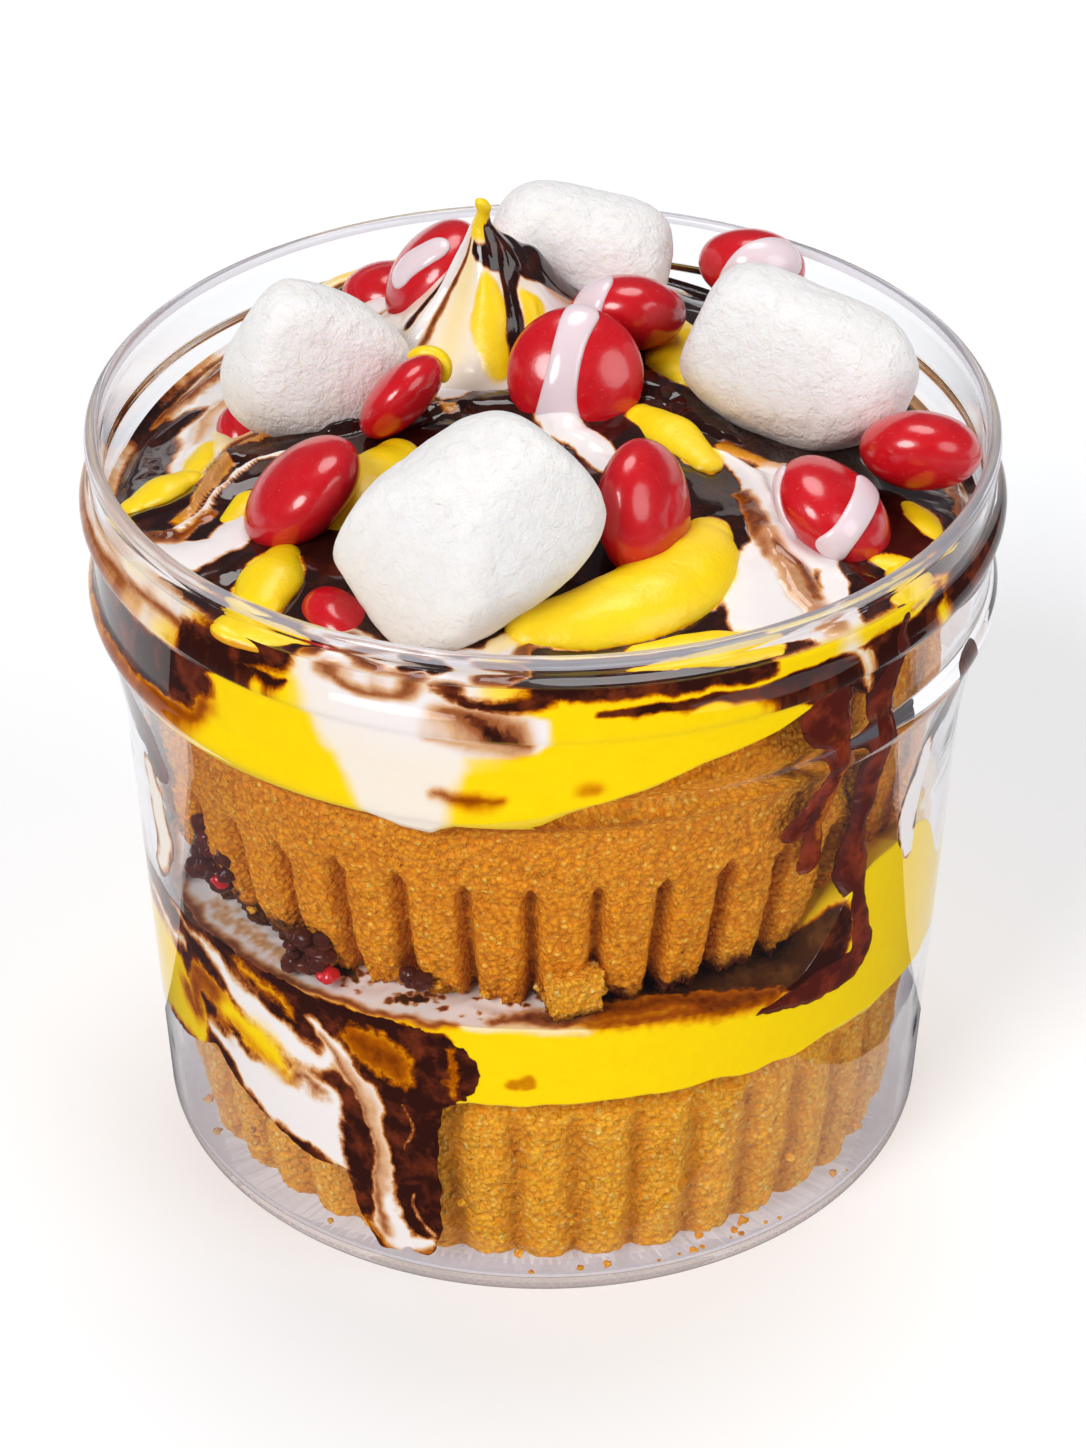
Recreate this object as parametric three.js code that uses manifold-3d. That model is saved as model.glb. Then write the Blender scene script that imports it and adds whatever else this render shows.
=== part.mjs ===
// Cake in a jar: two fluted sponge cakes stacked in a clear screw-neck jar, with custard and sauces
// between them, under a custard crown that carries marshmallows and round sugar-coated sweets.
// Millimetres, +Z up. The origin is the centre of the jar's underside and -Y is the front.
// A bearing is an angle in degrees round the jar from the front, positive towards +X.

import * as THREE from 'three';
import { mergeVertices } from 'three/addons/utils/BufferGeometryUtils.js';
import Module from 'manifold-3d';

// Clearance kept between neighbouring pieces.
const GAP = 0.3;

// Jar: a tapered body, a flared shoulder and a straight neck with two raised rings.
const JAR_HEIGHT = 77.3;
const JAR_WALL = 1.25;
const JAR_FLOOR = 1.6;
const FOOT_RADIUS = 38.45;
const FOOT_CORNER = 2.2;
const SHOULDER_START = 44.8;
const SHOULDER_RADIUS = 41.0;
const SHOULDER_CURVE = 1.8;
const NECK_START = 59.0;
const NECK_RADIUS = 43.4;
const NECK_BORE = 42.3;
const LIP_RADIUS = 43.7;
const LIP_ROUND = 0.6;
const RINGS = [
  { height: 60.6, radius: 44.1, halfWidth: 1.5 },
  { height: 69.9, radius: 44.5, halfWidth: 1.6 },
];
const SHOULDER_STEPS = [0.3, 0.55, 0.78];
const RING_STEPS = [-1, -0.55, 0, 0.55, 1];
const JAR_SIDES = 36;

// Sponge cakes: both baked in a case with the same number of flutes.
// A level gives the radius over the ribs, the height and the depth of the valleys between the ribs.
const FLUTES = 39;
const SIDES_PER_FLUTE = 3;
const LOWER_BASE = JAR_FLOOR + GAP;
const LOWER_TOP = 22.0;
const LOWER_VALLEY = 5.1;
const LOWER_LEVELS = [
  { radius: 34.2, height: LOWER_BASE, depth: 0.6 },
  { radius: 35.1, height: LOWER_BASE + 1.3, depth: 1.2 },
  { radius: 36.2, height: 9.5, depth: 1.2 },
  { radius: 36.8, height: LOWER_TOP - 1.4, depth: 1.0 },
  { radius: 35.8, height: LOWER_TOP, depth: 0.5 },
];
const UPPER_BASE = 33.0;
const UPPER_TOP = 57.0;
const UPPER_OFFSET = -0.6;
const UPPER_VALLEY = -0.7;
const UPPER_LEVELS = [
  { radius: 33.4, height: UPPER_BASE, depth: 0.9 },
  { radius: 34.7, height: UPPER_BASE + 1.4, depth: 1.8 },
  { radius: 36.7, height: 38.2, depth: 1.9 },
  { radius: 38.2, height: 47.0, depth: 1.7 },
  { radius: 39.0, height: 50.0, depth: 0.2 },
  { radius: 39.4, height: 54.2, depth: 0, domed: true },
  { radius: 38.3, height: UPPER_TOP, depth: 0, domed: true },
  { radius: 31.8, height: UPPER_TOP, depth: 0 },
];
// The upper cake's top domes up towards one bearing.
const UPPER_RISE = { height: 6.0, bearing: 62, halfWidth: 48 };

// Loose block broken from the front of the upper cake's foot.
const CHUNK = { width: 4.6, depth: 1.6, height: 3.4, bearing: 4, radius: 36.9, base: 34.3, round: 0.6 };

// Filling between the cakes: custard out to the wall, with pools of milk and chocolate on its ledge.
const FILLING_TOP = 31.5;
const FILLING_TILT = 2.2;
const FILLING_FOOT = 36.4;
const LEDGE_RADIUS = 34.4;
const POOL_DEPTH = 2.2;
const POOL_CLEARANCE = 0.6;
const MILK_POOL = { from: -150, to: 8, columns: 22 };
const CHOCOLATE_POOL = { from: 10, to: 40, columns: 6 };
const CUSTARD_HEAP = { height: 8.0, bearing: 62, halfWidth: 18 };
const FILLING_SIDES = 36;
const BAND_WAVES = [
  { count: 3, phase: 40, height: 0.7 },
  { count: 7, phase: 0, height: 0.3 },
];

// Marbled sauce run down the inside of the wall: left and right bearings at each height.
const RUN_THICKNESS = 0.7;
const RUN_COLUMNS = 8;
const RUN_ROOM = { from: -95, to: 5 };
const RUN_EDGES = [
  { height: 3.2, from: -26, to: -17 },
  { height: 7.5, from: -27, to: -15 },
  { height: 13.5, from: -34, to: -14 },
  { height: 19.0, from: -50, to: -12 },
  { height: 24.0, from: -68, to: -10 },
  { height: 28.0, from: -78, to: -9 },
];

// Custard crown on the upper cake, drawn up to a peak behind its middle.
const CROWN_MIDDLE = 76.3;
const CROWN_EDGE = 70.2;
const CROWN_EDGE_WAVE = 2.4;
const CROWN_CURVE = 2.2;
const CROWN_SEAT_RADIUS = 30.2;
const CROWN_SEAT_CLEARANCE = 0.5;
const CROWN_BRIM_RADIUS = 37.6;
const CROWN_SHOULDER = 3.2;
const PEAK = { x: -5.6, y: 17.0, rise: 13.0, spread: 4.4, curve: 1.3 };
const CROWN_RINGS = [1, 0.86, 0.68, 0.48, 0.29, 0.14, 0.05];
const CROWN_SIDES = 28;

// Piped custard folds on the front of the crown: a flattened rope along a hand-set line.
const FOLDS = [
  {
    width: 6.4,
    height: 4.4,
    steps: 9,
    line: [[-0.5, -34.5, 73.6], [4.5, -31.5, 75.2], [10.0, -28.5, 75.4], [15.2, -24.3, 75.6], [18.2, -18.6, 75.6]],
  },
  {
    width: 4.6,
    height: 3.4,
    steps: 5,
    line: [[8.2, -36.3, 72.4], [13.8, -35.6, 72.8], [19.0, -32.8, 72.6]],
  },
];

// Marshmallows: barrels of a given width and length; the axis leans from the vertical towards a bearing.
const MARSHMALLOWS = [
  { name: 'marshmallow_front', across: 17.8, length: 23.8, at: [-6.6, -28.8, 81.4], lean: 63, bearing: 110 },
  { name: 'marshmallow_left', across: 15.3, length: 16.6, at: [-22.1, 7.6, 79.0], lean: 62, bearing: -70 },
  { name: 'marshmallow_right', across: 15.8, length: 22.2, at: [24.7, 4.8, 79.7], lean: 72, bearing: -106 },
  { name: 'marshmallow_back', across: 15.4, length: 17.8, at: [3.9, 29.8, 77.2], lean: 78, bearing: -93 },
];
const MARSHMALLOW_SQUARENESS = 2.8;
const MARSHMALLOW_MESH = { sides: 12, bands: 6 };

// Sugar-coated sweets: lentil shapes whose short axis leans from the vertical towards a bearing.
// Three smaller ones are thinner too.
const SWEET_THICKNESS = 7.5;
const SWEET_MESH = { sides: 12, bands: 6 };
const SWEETS = [
  { name: 'sweet_01', across: 13.0, at: [-22.3, -14.8, 77.2], lean: 42, bearing: -97 },
  { name: 'sweet_02', across: 13.2, at: [9.2, -20.6, 78.8], lean: 76, bearing: 69 },
  { name: 'sweet_03', across: 13.2, at: [3.1, 4.6, 78.8], lean: 54, bearing: 2 },
  { name: 'sweet_04', across: 11.4, at: [8.3, 15.8, 79.4], lean: 34, bearing: 176 },
  { name: 'sweet_05', across: 12.4, at: [-10.9, 25.2, 78.7], lean: 50, bearing: -93 },
  { name: 'sweet_06', across: 10.6, thickness: 6.6, at: [-13.4, -1.2, 79.7], lean: 54, bearing: -119 },
  { name: 'sweet_07', across: 10.8, at: [21.0, 29.3, 77.4], lean: 34, bearing: 165 },
  { name: 'sweet_08', across: 12.6, at: [27.0, -15.2, 75.3], lean: 40, bearing: 90 },
  { name: 'sweet_09', across: 11.6, at: [35.5, -6.9, 77.1], lean: 34, bearing: 172 },
  { name: 'sweet_10', across: 9.6, thickness: 6.4, at: [-28.8, 6.2, 70.6], lean: 60, bearing: 90 },
  { name: 'sweet_11', across: 10.4, thickness: 6.4, at: [-18.4, -27.6, 71.2], lean: 40, bearing: 110 },
  { name: 'sweet_12', across: 11.0, at: [-15.8, 33.4, 72.4], lean: 20, bearing: 180 },
];

// Sockets that the toppings leave in the crown: the same shapes, roomier and with fewer sides.
const SOCKET_MARGIN = 0.95;
const SOCKET_MESH = { sides: 8, bands: 4 };
const LARGE_SOCKET_MESH = { sides: 10, bands: 6 };

const finish = (color, roughness) => new THREE.MeshStandardMaterial({ color, roughness, metalness: 0 });
const COLORS = {
  jar: 0xe6e8f0,
  sponge: 0xd9963c,
  custard: 0xf7d40a,
  milk: 0xf2eadf,
  chocolate: 0x35130c,
  marshmallow: 0xf6f2ee,
  sweet: 0xc4141a,
};

const radians = THREE.MathUtils.degToRad;

/** Smooth swelling that is 1 at its own bearing and 0 beyond its half width. */
function swelling(bearing, shape) {
  const offset = Math.abs(THREE.MathUtils.euclideanModulo(bearing - shape.bearing + 180, 360) - 180);
  return offset < shape.halfWidth ? (1 + Math.cos((Math.PI * offset) / shape.halfWidth)) / 2 : 0;
}

/** Direction that leans from +Z towards a bearing. */
function leaning(lean, bearing) {
  const tilt = radians(lean);
  const turn = radians(bearing);
  return new THREE.Vector3(Math.sin(tilt) * Math.sin(turn), -Math.sin(tilt) * Math.cos(turn), Math.cos(tilt));
}

/** Point at a bearing, a radius and a height. */
function around(bearing, radius, height) {
  return [radius * Math.sin(radians(bearing)), -radius * Math.cos(radians(bearing)), height];
}

/** Indexed geometry from a flat list of points and a list of triangles. */
function solid(points, triangles) {
  const geometry = new THREE.BufferGeometry();
  geometry.setAttribute('position', new THREE.Float32BufferAttribute(points.flat(), 3));
  geometry.setIndex(triangles.flat());
  geometry.computeVertexNormals();
  return geometry;
}

/** Closed body from rings of points, bottom to top, shut by a point below and a point above. */
function ringedBody(bottom, rings, top) {
  const sides = rings[0].length;
  const points = [bottom, ...rings.flat(), top];
  const last = points.length - 1;
  const at = (ring, side) => 1 + ring * sides + (side % sides);
  const triangles = [];
  for (let side = 0; side < sides; side += 1) {
    triangles.push([0, at(0, side + 1), at(0, side)]);
    for (let ring = 0; ring + 1 < rings.length; ring += 1) {
      triangles.push([at(ring, side), at(ring, side + 1), at(ring + 1, side)]);
      triangles.push([at(ring, side + 1), at(ring + 1, side + 1), at(ring + 1, side)]);
    }
    triangles.push([last, at(rings.length - 1, side), at(rings.length - 1, side + 1)]);
  }
  return solid(points, triangles);
}

/**
 * Closed bar from cross-sections in order along the bar. Each section has the same even number of
 * points: one side of it up, then the other side back.
 */
function sectionedBar(sections) {
  const corners = sections[0].length;
  const last = sections.length - 1;
  const at = (section, corner) => section * corners + (corner % corners);
  const triangles = [];
  for (let section = 0; section < last; section += 1) {
    for (let corner = 0; corner < corners; corner += 1) {
      triangles.push([at(section, corner), at(section + 1, corner), at(section, corner + 1)]);
      triangles.push([at(section, corner + 1), at(section + 1, corner), at(section + 1, corner + 1)]);
    }
  }
  for (let corner = 0; corner + 1 < corners / 2; corner += 1) {
    const cap = [corner, corner + 1, corners - 2 - corner, corners - 1 - corner];
    const [a, b, c, d] = cap.map((index) => at(0, index));
    const [e, f, g, h] = cap.map((index) => at(last, index));
    triangles.push([a, b, c], [a, c, d], [e, g, f], [e, h, g]);
  }
  return solid(sections.flat(), triangles);
}

/** Ring of points, from a first bearing, by a rule that gives radius and height at each bearing. */
function ring(sides, rule, first = 0) {
  return Array.from({ length: sides }, (_, side) => {
    const bearing = first + (side * 360) / sides;
    const [radius, height] = rule(bearing);
    return around(bearing, radius, height);
  });
}

// ---------------------------------------------------------------- jar

/** Outer radius of the jar's body and shoulder, without the rings of the neck. */
function outerRadius(height) {
  if (height <= SHOULDER_START) {
    return FOOT_RADIUS + ((SHOULDER_RADIUS - FOOT_RADIUS) * height) / SHOULDER_START;
  }
  const climb = Math.min((height - SHOULDER_START) / (NECK_START - SHOULDER_START), 1);
  return SHOULDER_RADIUS + (NECK_RADIUS - SHOULDER_RADIUS) * climb ** SHOULDER_CURVE;
}

/** Inner radius of the jar at a height. */
function innerRadius(height) {
  return Math.min(outerRadius(height) - JAR_WALL, NECK_BORE);
}

/** Largest radius that food may have at a height. */
function foodRadius(height) {
  return innerRadius(height) - GAP;
}

/** Rounded bulge of one raised ring of the neck. */
function ringProfile({ height, radius, halfWidth }) {
  return RING_STEPS.map((step) => [
    NECK_RADIUS + (radius - NECK_RADIUS) * Math.cos((step * Math.PI) / 2),
    height + step * halfWidth,
  ]);
}

function jar() {
  const shoulderHeights = SHOULDER_STEPS.map((t) => THREE.MathUtils.lerp(SHOULDER_START, NECK_START, t));
  const cornerArc = [0, 30, 60, 90].map((angle) => [
    outerRadius(FOOT_CORNER) - FOOT_CORNER * (1 - Math.sin(radians(angle))),
    FOOT_CORNER * (1 - Math.cos(radians(angle))),
  ]);
  const innerCorner = FOOT_CORNER - JAR_WALL;
  const floorArc = [90, 45, 0].map((angle) => [
    innerRadius(JAR_FLOOR + innerCorner) - innerCorner * (1 - Math.sin(radians(angle))),
    JAR_FLOOR + innerCorner * (1 - Math.cos(radians(angle))),
  ]);
  const lip = [
    [LIP_RADIUS, JAR_HEIGHT - 3 * LIP_ROUND],
    [LIP_RADIUS, JAR_HEIGHT - LIP_ROUND],
    [LIP_RADIUS - LIP_ROUND, JAR_HEIGHT],
    [NECK_BORE + LIP_ROUND / 2, JAR_HEIGHT],
    [NECK_BORE, JAR_HEIGHT - LIP_ROUND],
  ];
  const boreFoot = NECK_START + JAR_WALL;
  const profile = [
    [0, 0],
    ...cornerArc,
    [SHOULDER_RADIUS, SHOULDER_START],
    ...shoulderHeights.map((height) => [outerRadius(height), height]),
    ...RINGS.flatMap(ringProfile),
    ...lip,
    [NECK_BORE, boreFoot],
    ...shoulderHeights.toReversed().map((height) => [innerRadius(height), height]),
    [innerRadius(SHOULDER_START), SHOULDER_START],
    ...floorArc,
    [0, JAR_FLOOR],
  ].map(([radius, height]) => new THREE.Vector2(radius, height));
  const shell = new THREE.LatheGeometry(profile, JAR_SIDES);
  shell.rotateX(Math.PI / 2);
  return shell;
}

// ---------------------------------------------------------------- cakes

/** Height of the upper cake's top at a bearing; it domes up on the right. */
function upperTop(bearing) {
  return UPPER_TOP + UPPER_RISE.height * swelling(bearing, UPPER_RISE);
}

/** Fluted sponge from its levels, with a valley at one bearing and a flat middle of its top. */
function flutedCake(levels, valleyBearing) {
  const sides = FLUTES * SIDES_PER_FLUTE;
  const rings = levels.map(({ radius, height, depth, domed }) => {
    const rule = (bearing) => {
      const valley = (1 + Math.cos(radians((bearing - valleyBearing) * FLUTES))) / 2;
      const lift = domed ? upperTop(bearing) - UPPER_TOP : 0;
      return [radius - depth * valley, height + lift];
    };
    return ring(sides, rule, valleyBearing);
  });
  return ringedBody([0, 0, levels[0].height], rings, [0, 0, levels.at(-1).height]);
}

/** Small broken block with bevelled edges. */
function cakeChunk() {
  const half = [CHUNK.width / 2, CHUNK.depth / 2];
  const inset = half.map((size) => size - CHUNK.round);
  const outline = ([x, y], height) => [[-x, -y, height], [x, -y, height], [x, y, height], [-x, y, height]];
  const rings = [
    outline(inset, 0),
    outline(half, CHUNK.round),
    outline(half, CHUNK.height - CHUNK.round),
    outline(inset, CHUNK.height),
  ];
  const block = ringedBody([0, 0, 0], rings, [0, 0, CHUNK.height]);
  block.rotateZ(radians(CHUNK.bearing));
  block.translate(...around(CHUNK.bearing, CHUNK.radius, CHUNK.base));
  return block;
}

// ---------------------------------------------------------------- filling between the cakes

/** Height where the filling meets the wall: highest at the front. */
function fillingTop(bearing) {
  return FILLING_TOP + FILLING_TILT * Math.cos(radians(bearing));
}

/** Wavy lower edge of the custard band against the wall. */
function bandBottom(bearing) {
  const wave = ({ count, phase, height }) => height * Math.sin(radians(count * bearing + phase));
  return BAND_WAVES.map(wave).reduce((sum, height) => sum + height, LOWER_TOP + 1.1);
}

/** How far the custard steps back from the wall to leave room for the marbled run. */
function runRecess(bearing) {
  const signed = bearing > 180 ? bearing - 360 : bearing;
  return signed > RUN_ROOM.from && signed < RUN_ROOM.to ? RUN_THICKNESS + GAP : 0;
}

function middleCustard() {
  const ledge = (bearing) => fillingTop(bearing) - POOL_DEPTH - GAP;
  const heap = (bearing) => CUSTARD_HEAP.height * swelling(bearing, CUSTARD_HEAP);
  const side = (bearing, height) => [foodRadius(height) - runRecess(bearing), height];
  const seat = LOWER_TOP + GAP;
  const rings = [
    ring(FILLING_SIDES, () => [LEDGE_RADIUS, seat]),
    ring(FILLING_SIDES, () => [FILLING_FOOT, seat]),
    ring(FILLING_SIDES, (bearing) => side(bearing, bandBottom(bearing))),
    ring(FILLING_SIDES, (bearing) => side(bearing, ledge(bearing) + heap(bearing))),
    ring(FILLING_SIDES, (bearing) => [LEDGE_RADIUS, ledge(bearing)]),
    ring(FILLING_SIDES, () => [LEDGE_RADIUS - POOL_CLEARANCE, UPPER_BASE - GAP]),
  ];
  return ringedBody([0, 0, seat], rings, [0, 0, UPPER_BASE - GAP]);
}

/** Pool of sauce on the custard's ledge, round the foot of the upper cake. */
function pool({ from, to, columns }) {
  const inner = LEDGE_RADIUS + POOL_CLEARANCE;
  const sections = Array.from({ length: columns + 1 }, (_, column) => {
    const bearing = THREE.MathUtils.lerp(from, to, column / columns);
    const top = fillingTop(bearing);
    const bottom = top - POOL_DEPTH;
    return [
      around(bearing, inner, bottom),
      around(bearing, foodRadius(bottom), bottom),
      around(bearing, foodRadius(bottom), top),
      around(bearing, inner, top),
    ];
  });
  return sectionedBar(sections);
}

/** Thin slab of marbled sauce that fills the gap between the wall and the lower cake. */
function marbledRun() {
  const sections = Array.from({ length: RUN_COLUMNS + 1 }, (_, column) => {
    const layer = (inset) =>
      RUN_EDGES.map(({ height, from, to }) => {
        const bearing = THREE.MathUtils.lerp(from, to, column / RUN_COLUMNS);
        return around(bearing, foodRadius(height) - inset, height);
      });
    return [...layer(RUN_THICKNESS).toReversed(), ...layer(0)];
  });
  return sectionedBar(sections);
}

// ---------------------------------------------------------------- toppings

/** Barrel whose profile is a superellipse: squareness 2 is an ellipsoid, more is squarer. */
function barrel(across, length, squareness, { sides, bands }) {
  const power = 2 / squareness;
  const rings = Array.from({ length: bands - 1 }, (_, band) => {
    const angle = (Math.PI * (band + 1)) / bands - Math.PI / 2;
    const radius = (across / 2) * Math.cos(angle) ** power;
    const height = (length / 2) * Math.sign(angle) * Math.abs(Math.sin(angle)) ** power;
    return ring(sides, () => [radius, height]);
  });
  return ringedBody([0, 0, -length / 2], rings, [0, 0, length / 2]);
}

/** Puts a topping's geometry in its place with its short or long axis leaning. */
function placed(geometry, { at, lean, bearing }) {
  const upright = new THREE.Vector3(0, 0, 1);
  geometry.applyQuaternion(new THREE.Quaternion().setFromUnitVectors(upright, leaning(lean, bearing)));
  geometry.translate(...at);
  return geometry;
}

function marshmallow(piece) {
  return placed(barrel(piece.across, piece.length, MARSHMALLOW_SQUARENESS, MARSHMALLOW_MESH), piece);
}

function sweet(piece) {
  return placed(barrel(piece.across, piece.thickness ?? SWEET_THICKNESS, 2, SWEET_MESH), piece);
}

/** Room that a marshmallow or a sweet needs in the crown. */
function socket(piece) {
  const grow = (size) => size + 2 * SOCKET_MARGIN;
  const shape = piece.length
    ? barrel(grow(piece.across), grow(piece.length), MARSHMALLOW_SQUARENESS, LARGE_SOCKET_MESH)
    : barrel(grow(piece.across), grow(piece.thickness ?? SWEET_THICKNESS), 2, SOCKET_MESH);
  return placed(shape, piece);
}

// ---------------------------------------------------------------- crown

/** Height of the crown's edge against the neck: high at front and back, low at the sides. */
function crownEdge(bearing) {
  return CROWN_EDGE + CROWN_EDGE_WAVE * Math.cos(radians(2 * bearing));
}

/** Height of the crown's surface at a point. */
function crownHeight(x, y) {
  const bearing = THREE.MathUtils.radToDeg(Math.atan2(x, -y));
  const reach = Math.min(Math.hypot(x, y) / NECK_BORE, 1) ** CROWN_CURVE;
  const mound = THREE.MathUtils.lerp(CROWN_MIDDLE, crownEdge(bearing), reach);
  const away = Math.hypot(x - PEAK.x, y - PEAK.y) / PEAK.spread;
  return mound + PEAK.rise * Math.exp(-(away ** PEAK.curve));
}

/** Custard from the upper cake's top out to the neck, its rings closing in on the peak. */
function crownMound() {
  const seat = UPPER_TOP + CROWN_SEAT_CLEARANCE;
  const brim = (bearing) => upperTop(bearing) + CROWN_SEAT_CLEARANCE;
  const edge = NECK_BORE - GAP;
  const surface = CROWN_RINGS.map((reach) =>
    ring(CROWN_SIDES, () => [reach * edge, 0]).map(([x, y]) => {
      const spot = [x + PEAK.x * (1 - reach), y + PEAK.y * (1 - reach)];
      return [...spot, crownHeight(...spot)];
    }),
  );
  const rings = [
    ring(CROWN_SIDES, () => [CROWN_SEAT_RADIUS, seat]),
    ring(CROWN_SIDES, (bearing) => [CROWN_BRIM_RADIUS, brim(bearing)]),
    ring(CROWN_SIDES, (bearing) => [foodRadius(upperTop(bearing)), upperTop(bearing)]),
    ring(CROWN_SIDES, (bearing) => [edge, upperTop(bearing) + CROWN_SHOULDER]),
    ...surface,
  ];
  return ringedBody([0, 0, seat], rings, [PEAK.x, PEAK.y, crownHeight(PEAK.x, PEAK.y)]);
}

/** Rope of custard with an oval section along a line of points. */
function fold({ width, height, steps, line }) {
  const path = new THREE.CatmullRomCurve3(line.map((point) => new THREE.Vector3(...point)));
  const section = new THREE.Shape();
  section.absellipse(0, 0, height / 2, width / 2, 0, 2 * Math.PI);
  return new THREE.ExtrudeGeometry(section, { steps, curveSegments: 4, extrudePath: path });
}

const wasm = await Module();
wasm.setup();

/** Manifold solid of a closed geometry. */
function toManifold(geometry) {
  const bare = geometry.clone();
  bare.deleteAttribute('normal');
  bare.deleteAttribute('uv');
  const merged = mergeVertices(bare, 1e-4);
  const vertProperties = Float32Array.from(merged.attributes.position.array);
  const triVerts = Uint32Array.from(merged.index.array);
  return new wasm.Manifold(new wasm.Mesh({ numProp: 3, vertProperties, triVerts }));
}

/** Geometry of a manifold solid. */
function fromManifold(body) {
  const { vertProperties, triVerts } = body.getMesh();
  const geometry = new THREE.BufferGeometry();
  geometry.setAttribute('position', new THREE.Float32BufferAttribute(vertProperties, 3));
  geometry.setIndex(Array.from(triVerts));
  geometry.computeVertexNormals();
  return geometry;
}

/** Crown with its folds, cut clear of every topping sunk in it. */
function crown() {
  let body = toManifold(crownMound());
  FOLDS.forEach((shape) => {
    body = body.add(toManifold(fold(shape)));
  });
  [...MARSHMALLOWS, ...SWEETS].forEach((piece) => {
    body = body.subtract(toManifold(socket(piece)));
  });
  return fromManifold(body);
}

// ---------------------------------------------------------------- assembly

const cakeInJar = new THREE.Group();

/** Adds one named piece to the model. */
function addPiece(name, geometry, material) {
  const mesh = new THREE.Mesh(geometry, material);
  mesh.name = name;
  cakeInJar.add(mesh);
  return mesh;
}

addPiece('jar', jar(), finish(COLORS.jar, 0.08));
addPiece('lower_cake', flutedCake(LOWER_LEVELS, LOWER_VALLEY), finish(COLORS.sponge, 0.9));
const upperCake = addPiece('upper_cake', flutedCake(UPPER_LEVELS, UPPER_VALLEY), finish(COLORS.sponge, 0.9));
upperCake.position.x = UPPER_OFFSET;
addPiece('cake_chunk', cakeChunk(), finish(COLORS.sponge, 0.9));
addPiece('middle_custard', middleCustard(), finish(COLORS.custard, 0.4));
addPiece('milk_pool', pool(MILK_POOL), finish(COLORS.milk, 0.25));
addPiece('chocolate_pool', pool(CHOCOLATE_POOL), finish(COLORS.chocolate, 0.15));
addPiece('marbled_run', marbledRun(), finish(COLORS.chocolate, 0.2));
addPiece('crown_custard', crown(), finish(COLORS.custard, 0.4));
MARSHMALLOWS.forEach((piece) => addPiece(piece.name, marshmallow(piece), finish(COLORS.marshmallow, 0.85)));
SWEETS.forEach((piece) => addPiece(piece.name, sweet(piece), finish(COLORS.sweet, 0.25)));

export default cakeInJar;
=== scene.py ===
"""Cake in a jar: the finished looks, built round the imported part.

Two fluted sponge cakes stand in a clear jar with custard, milk and chocolate sauce between them.
A custard crown on top is drawn up to a peak and carries marshmallows and sugar-coated sweets.
Sizes in the classes are millimetres, and a bearing is an angle in degrees round the jar from its
front (-Y), positive towards +X.
"""

import itertools
import logging
import math
import random
from collections.abc import Callable, Iterable, Sequence
from dataclasses import dataclass, field
from enum import Enum

import bpy
import numpy as np
from mathutils import Matrix, Vector


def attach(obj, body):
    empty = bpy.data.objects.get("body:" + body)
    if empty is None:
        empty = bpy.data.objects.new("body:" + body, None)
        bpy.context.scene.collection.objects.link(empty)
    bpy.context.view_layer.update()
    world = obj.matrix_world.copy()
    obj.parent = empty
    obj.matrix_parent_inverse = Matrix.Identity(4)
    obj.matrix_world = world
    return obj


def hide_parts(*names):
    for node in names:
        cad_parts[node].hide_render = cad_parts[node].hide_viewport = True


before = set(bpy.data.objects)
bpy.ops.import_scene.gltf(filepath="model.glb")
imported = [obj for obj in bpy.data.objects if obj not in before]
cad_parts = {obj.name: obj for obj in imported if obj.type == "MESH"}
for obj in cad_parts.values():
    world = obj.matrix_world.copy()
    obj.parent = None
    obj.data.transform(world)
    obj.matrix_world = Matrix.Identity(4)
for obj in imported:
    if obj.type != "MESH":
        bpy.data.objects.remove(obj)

log = logging.getLogger("cake_in_a_jar")

MM = 0.001
CROWDING = 22.0  # degrees by which columns are drawn from the back towards the front
WALL_RADIUS = 41.0  # radius at which the jar's wall is unrolled for its sauces
Array = np.ndarray
Rule = Callable[[Array, Array], Array]
Triple = tuple[float, float, float]
Piece = bpy.types.Object


# ---------- numbers


def smooth(low: float, high: float, value: Array) -> Array:
    """Soft step from 0 at low to 1 at high."""
    t = np.clip((value - low) / (high - low), 0, 1)
    return t * t * (3 - 2 * t)


def circular(table: dict[float, float], bearing: Array) -> Array:
    """Value at each bearing from a table of bearings that closes on itself.

    Args:
        table: Value by bearing, in rising order between -180 and 180.
        bearing: Bearings in degrees.

    Returns:
        The values, in a straight line between the table's bearings.
    """
    keys = list(table)
    values = list(table.values())
    turned = (bearing + 180) % 360 - 180
    return np.interp(turned, [keys[-1] - 360, *keys, keys[0] + 360], [values[-1], *values, values[0]])


def bearing_of(x: Array, y: Array) -> Array:
    """Bearing in degrees of points seen from the jar's axis."""
    return np.degrees(np.arctan2(x, -y))


def around(bearing: Array, radius: Array, height: Array) -> Array:
    """Points at bearings, radii and heights, as rows of x, y and z."""
    turn = np.radians(bearing)
    return stacked(radius * np.sin(turn), -radius * np.cos(turn), height)


def stacked(*parts: Array | float) -> Array:
    """Rows with one column for each part."""
    return np.stack(np.broadcast_arrays(*parts), -1)


def stretch(along: Array, start: float, end: float) -> Array:
    """How far along a stretch each point is, from 0 before it to 1 after it."""
    return np.clip((along - start) / (end - start), 0, 1)


def crowded(turn: Array) -> Array:
    """Bearings from -180 to 180 for shares of a turn, closest together at the front."""
    angle = 360 * turn - 180
    return angle - CROWDING * np.sin(np.radians(angle))


def run_length(path: Array) -> Array:
    """Distance along a line of points to each of them."""
    return np.concatenate([[0], np.cumsum(np.linalg.norm(np.diff(path, axis=0), axis=1))])


def follow(way: Array, steps: Array, path: Array) -> Array:
    """What each column of a path is at some distances, where its rows lie at the steps."""
    return np.stack([np.interp(way, steps, column) for column in path.T])


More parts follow.
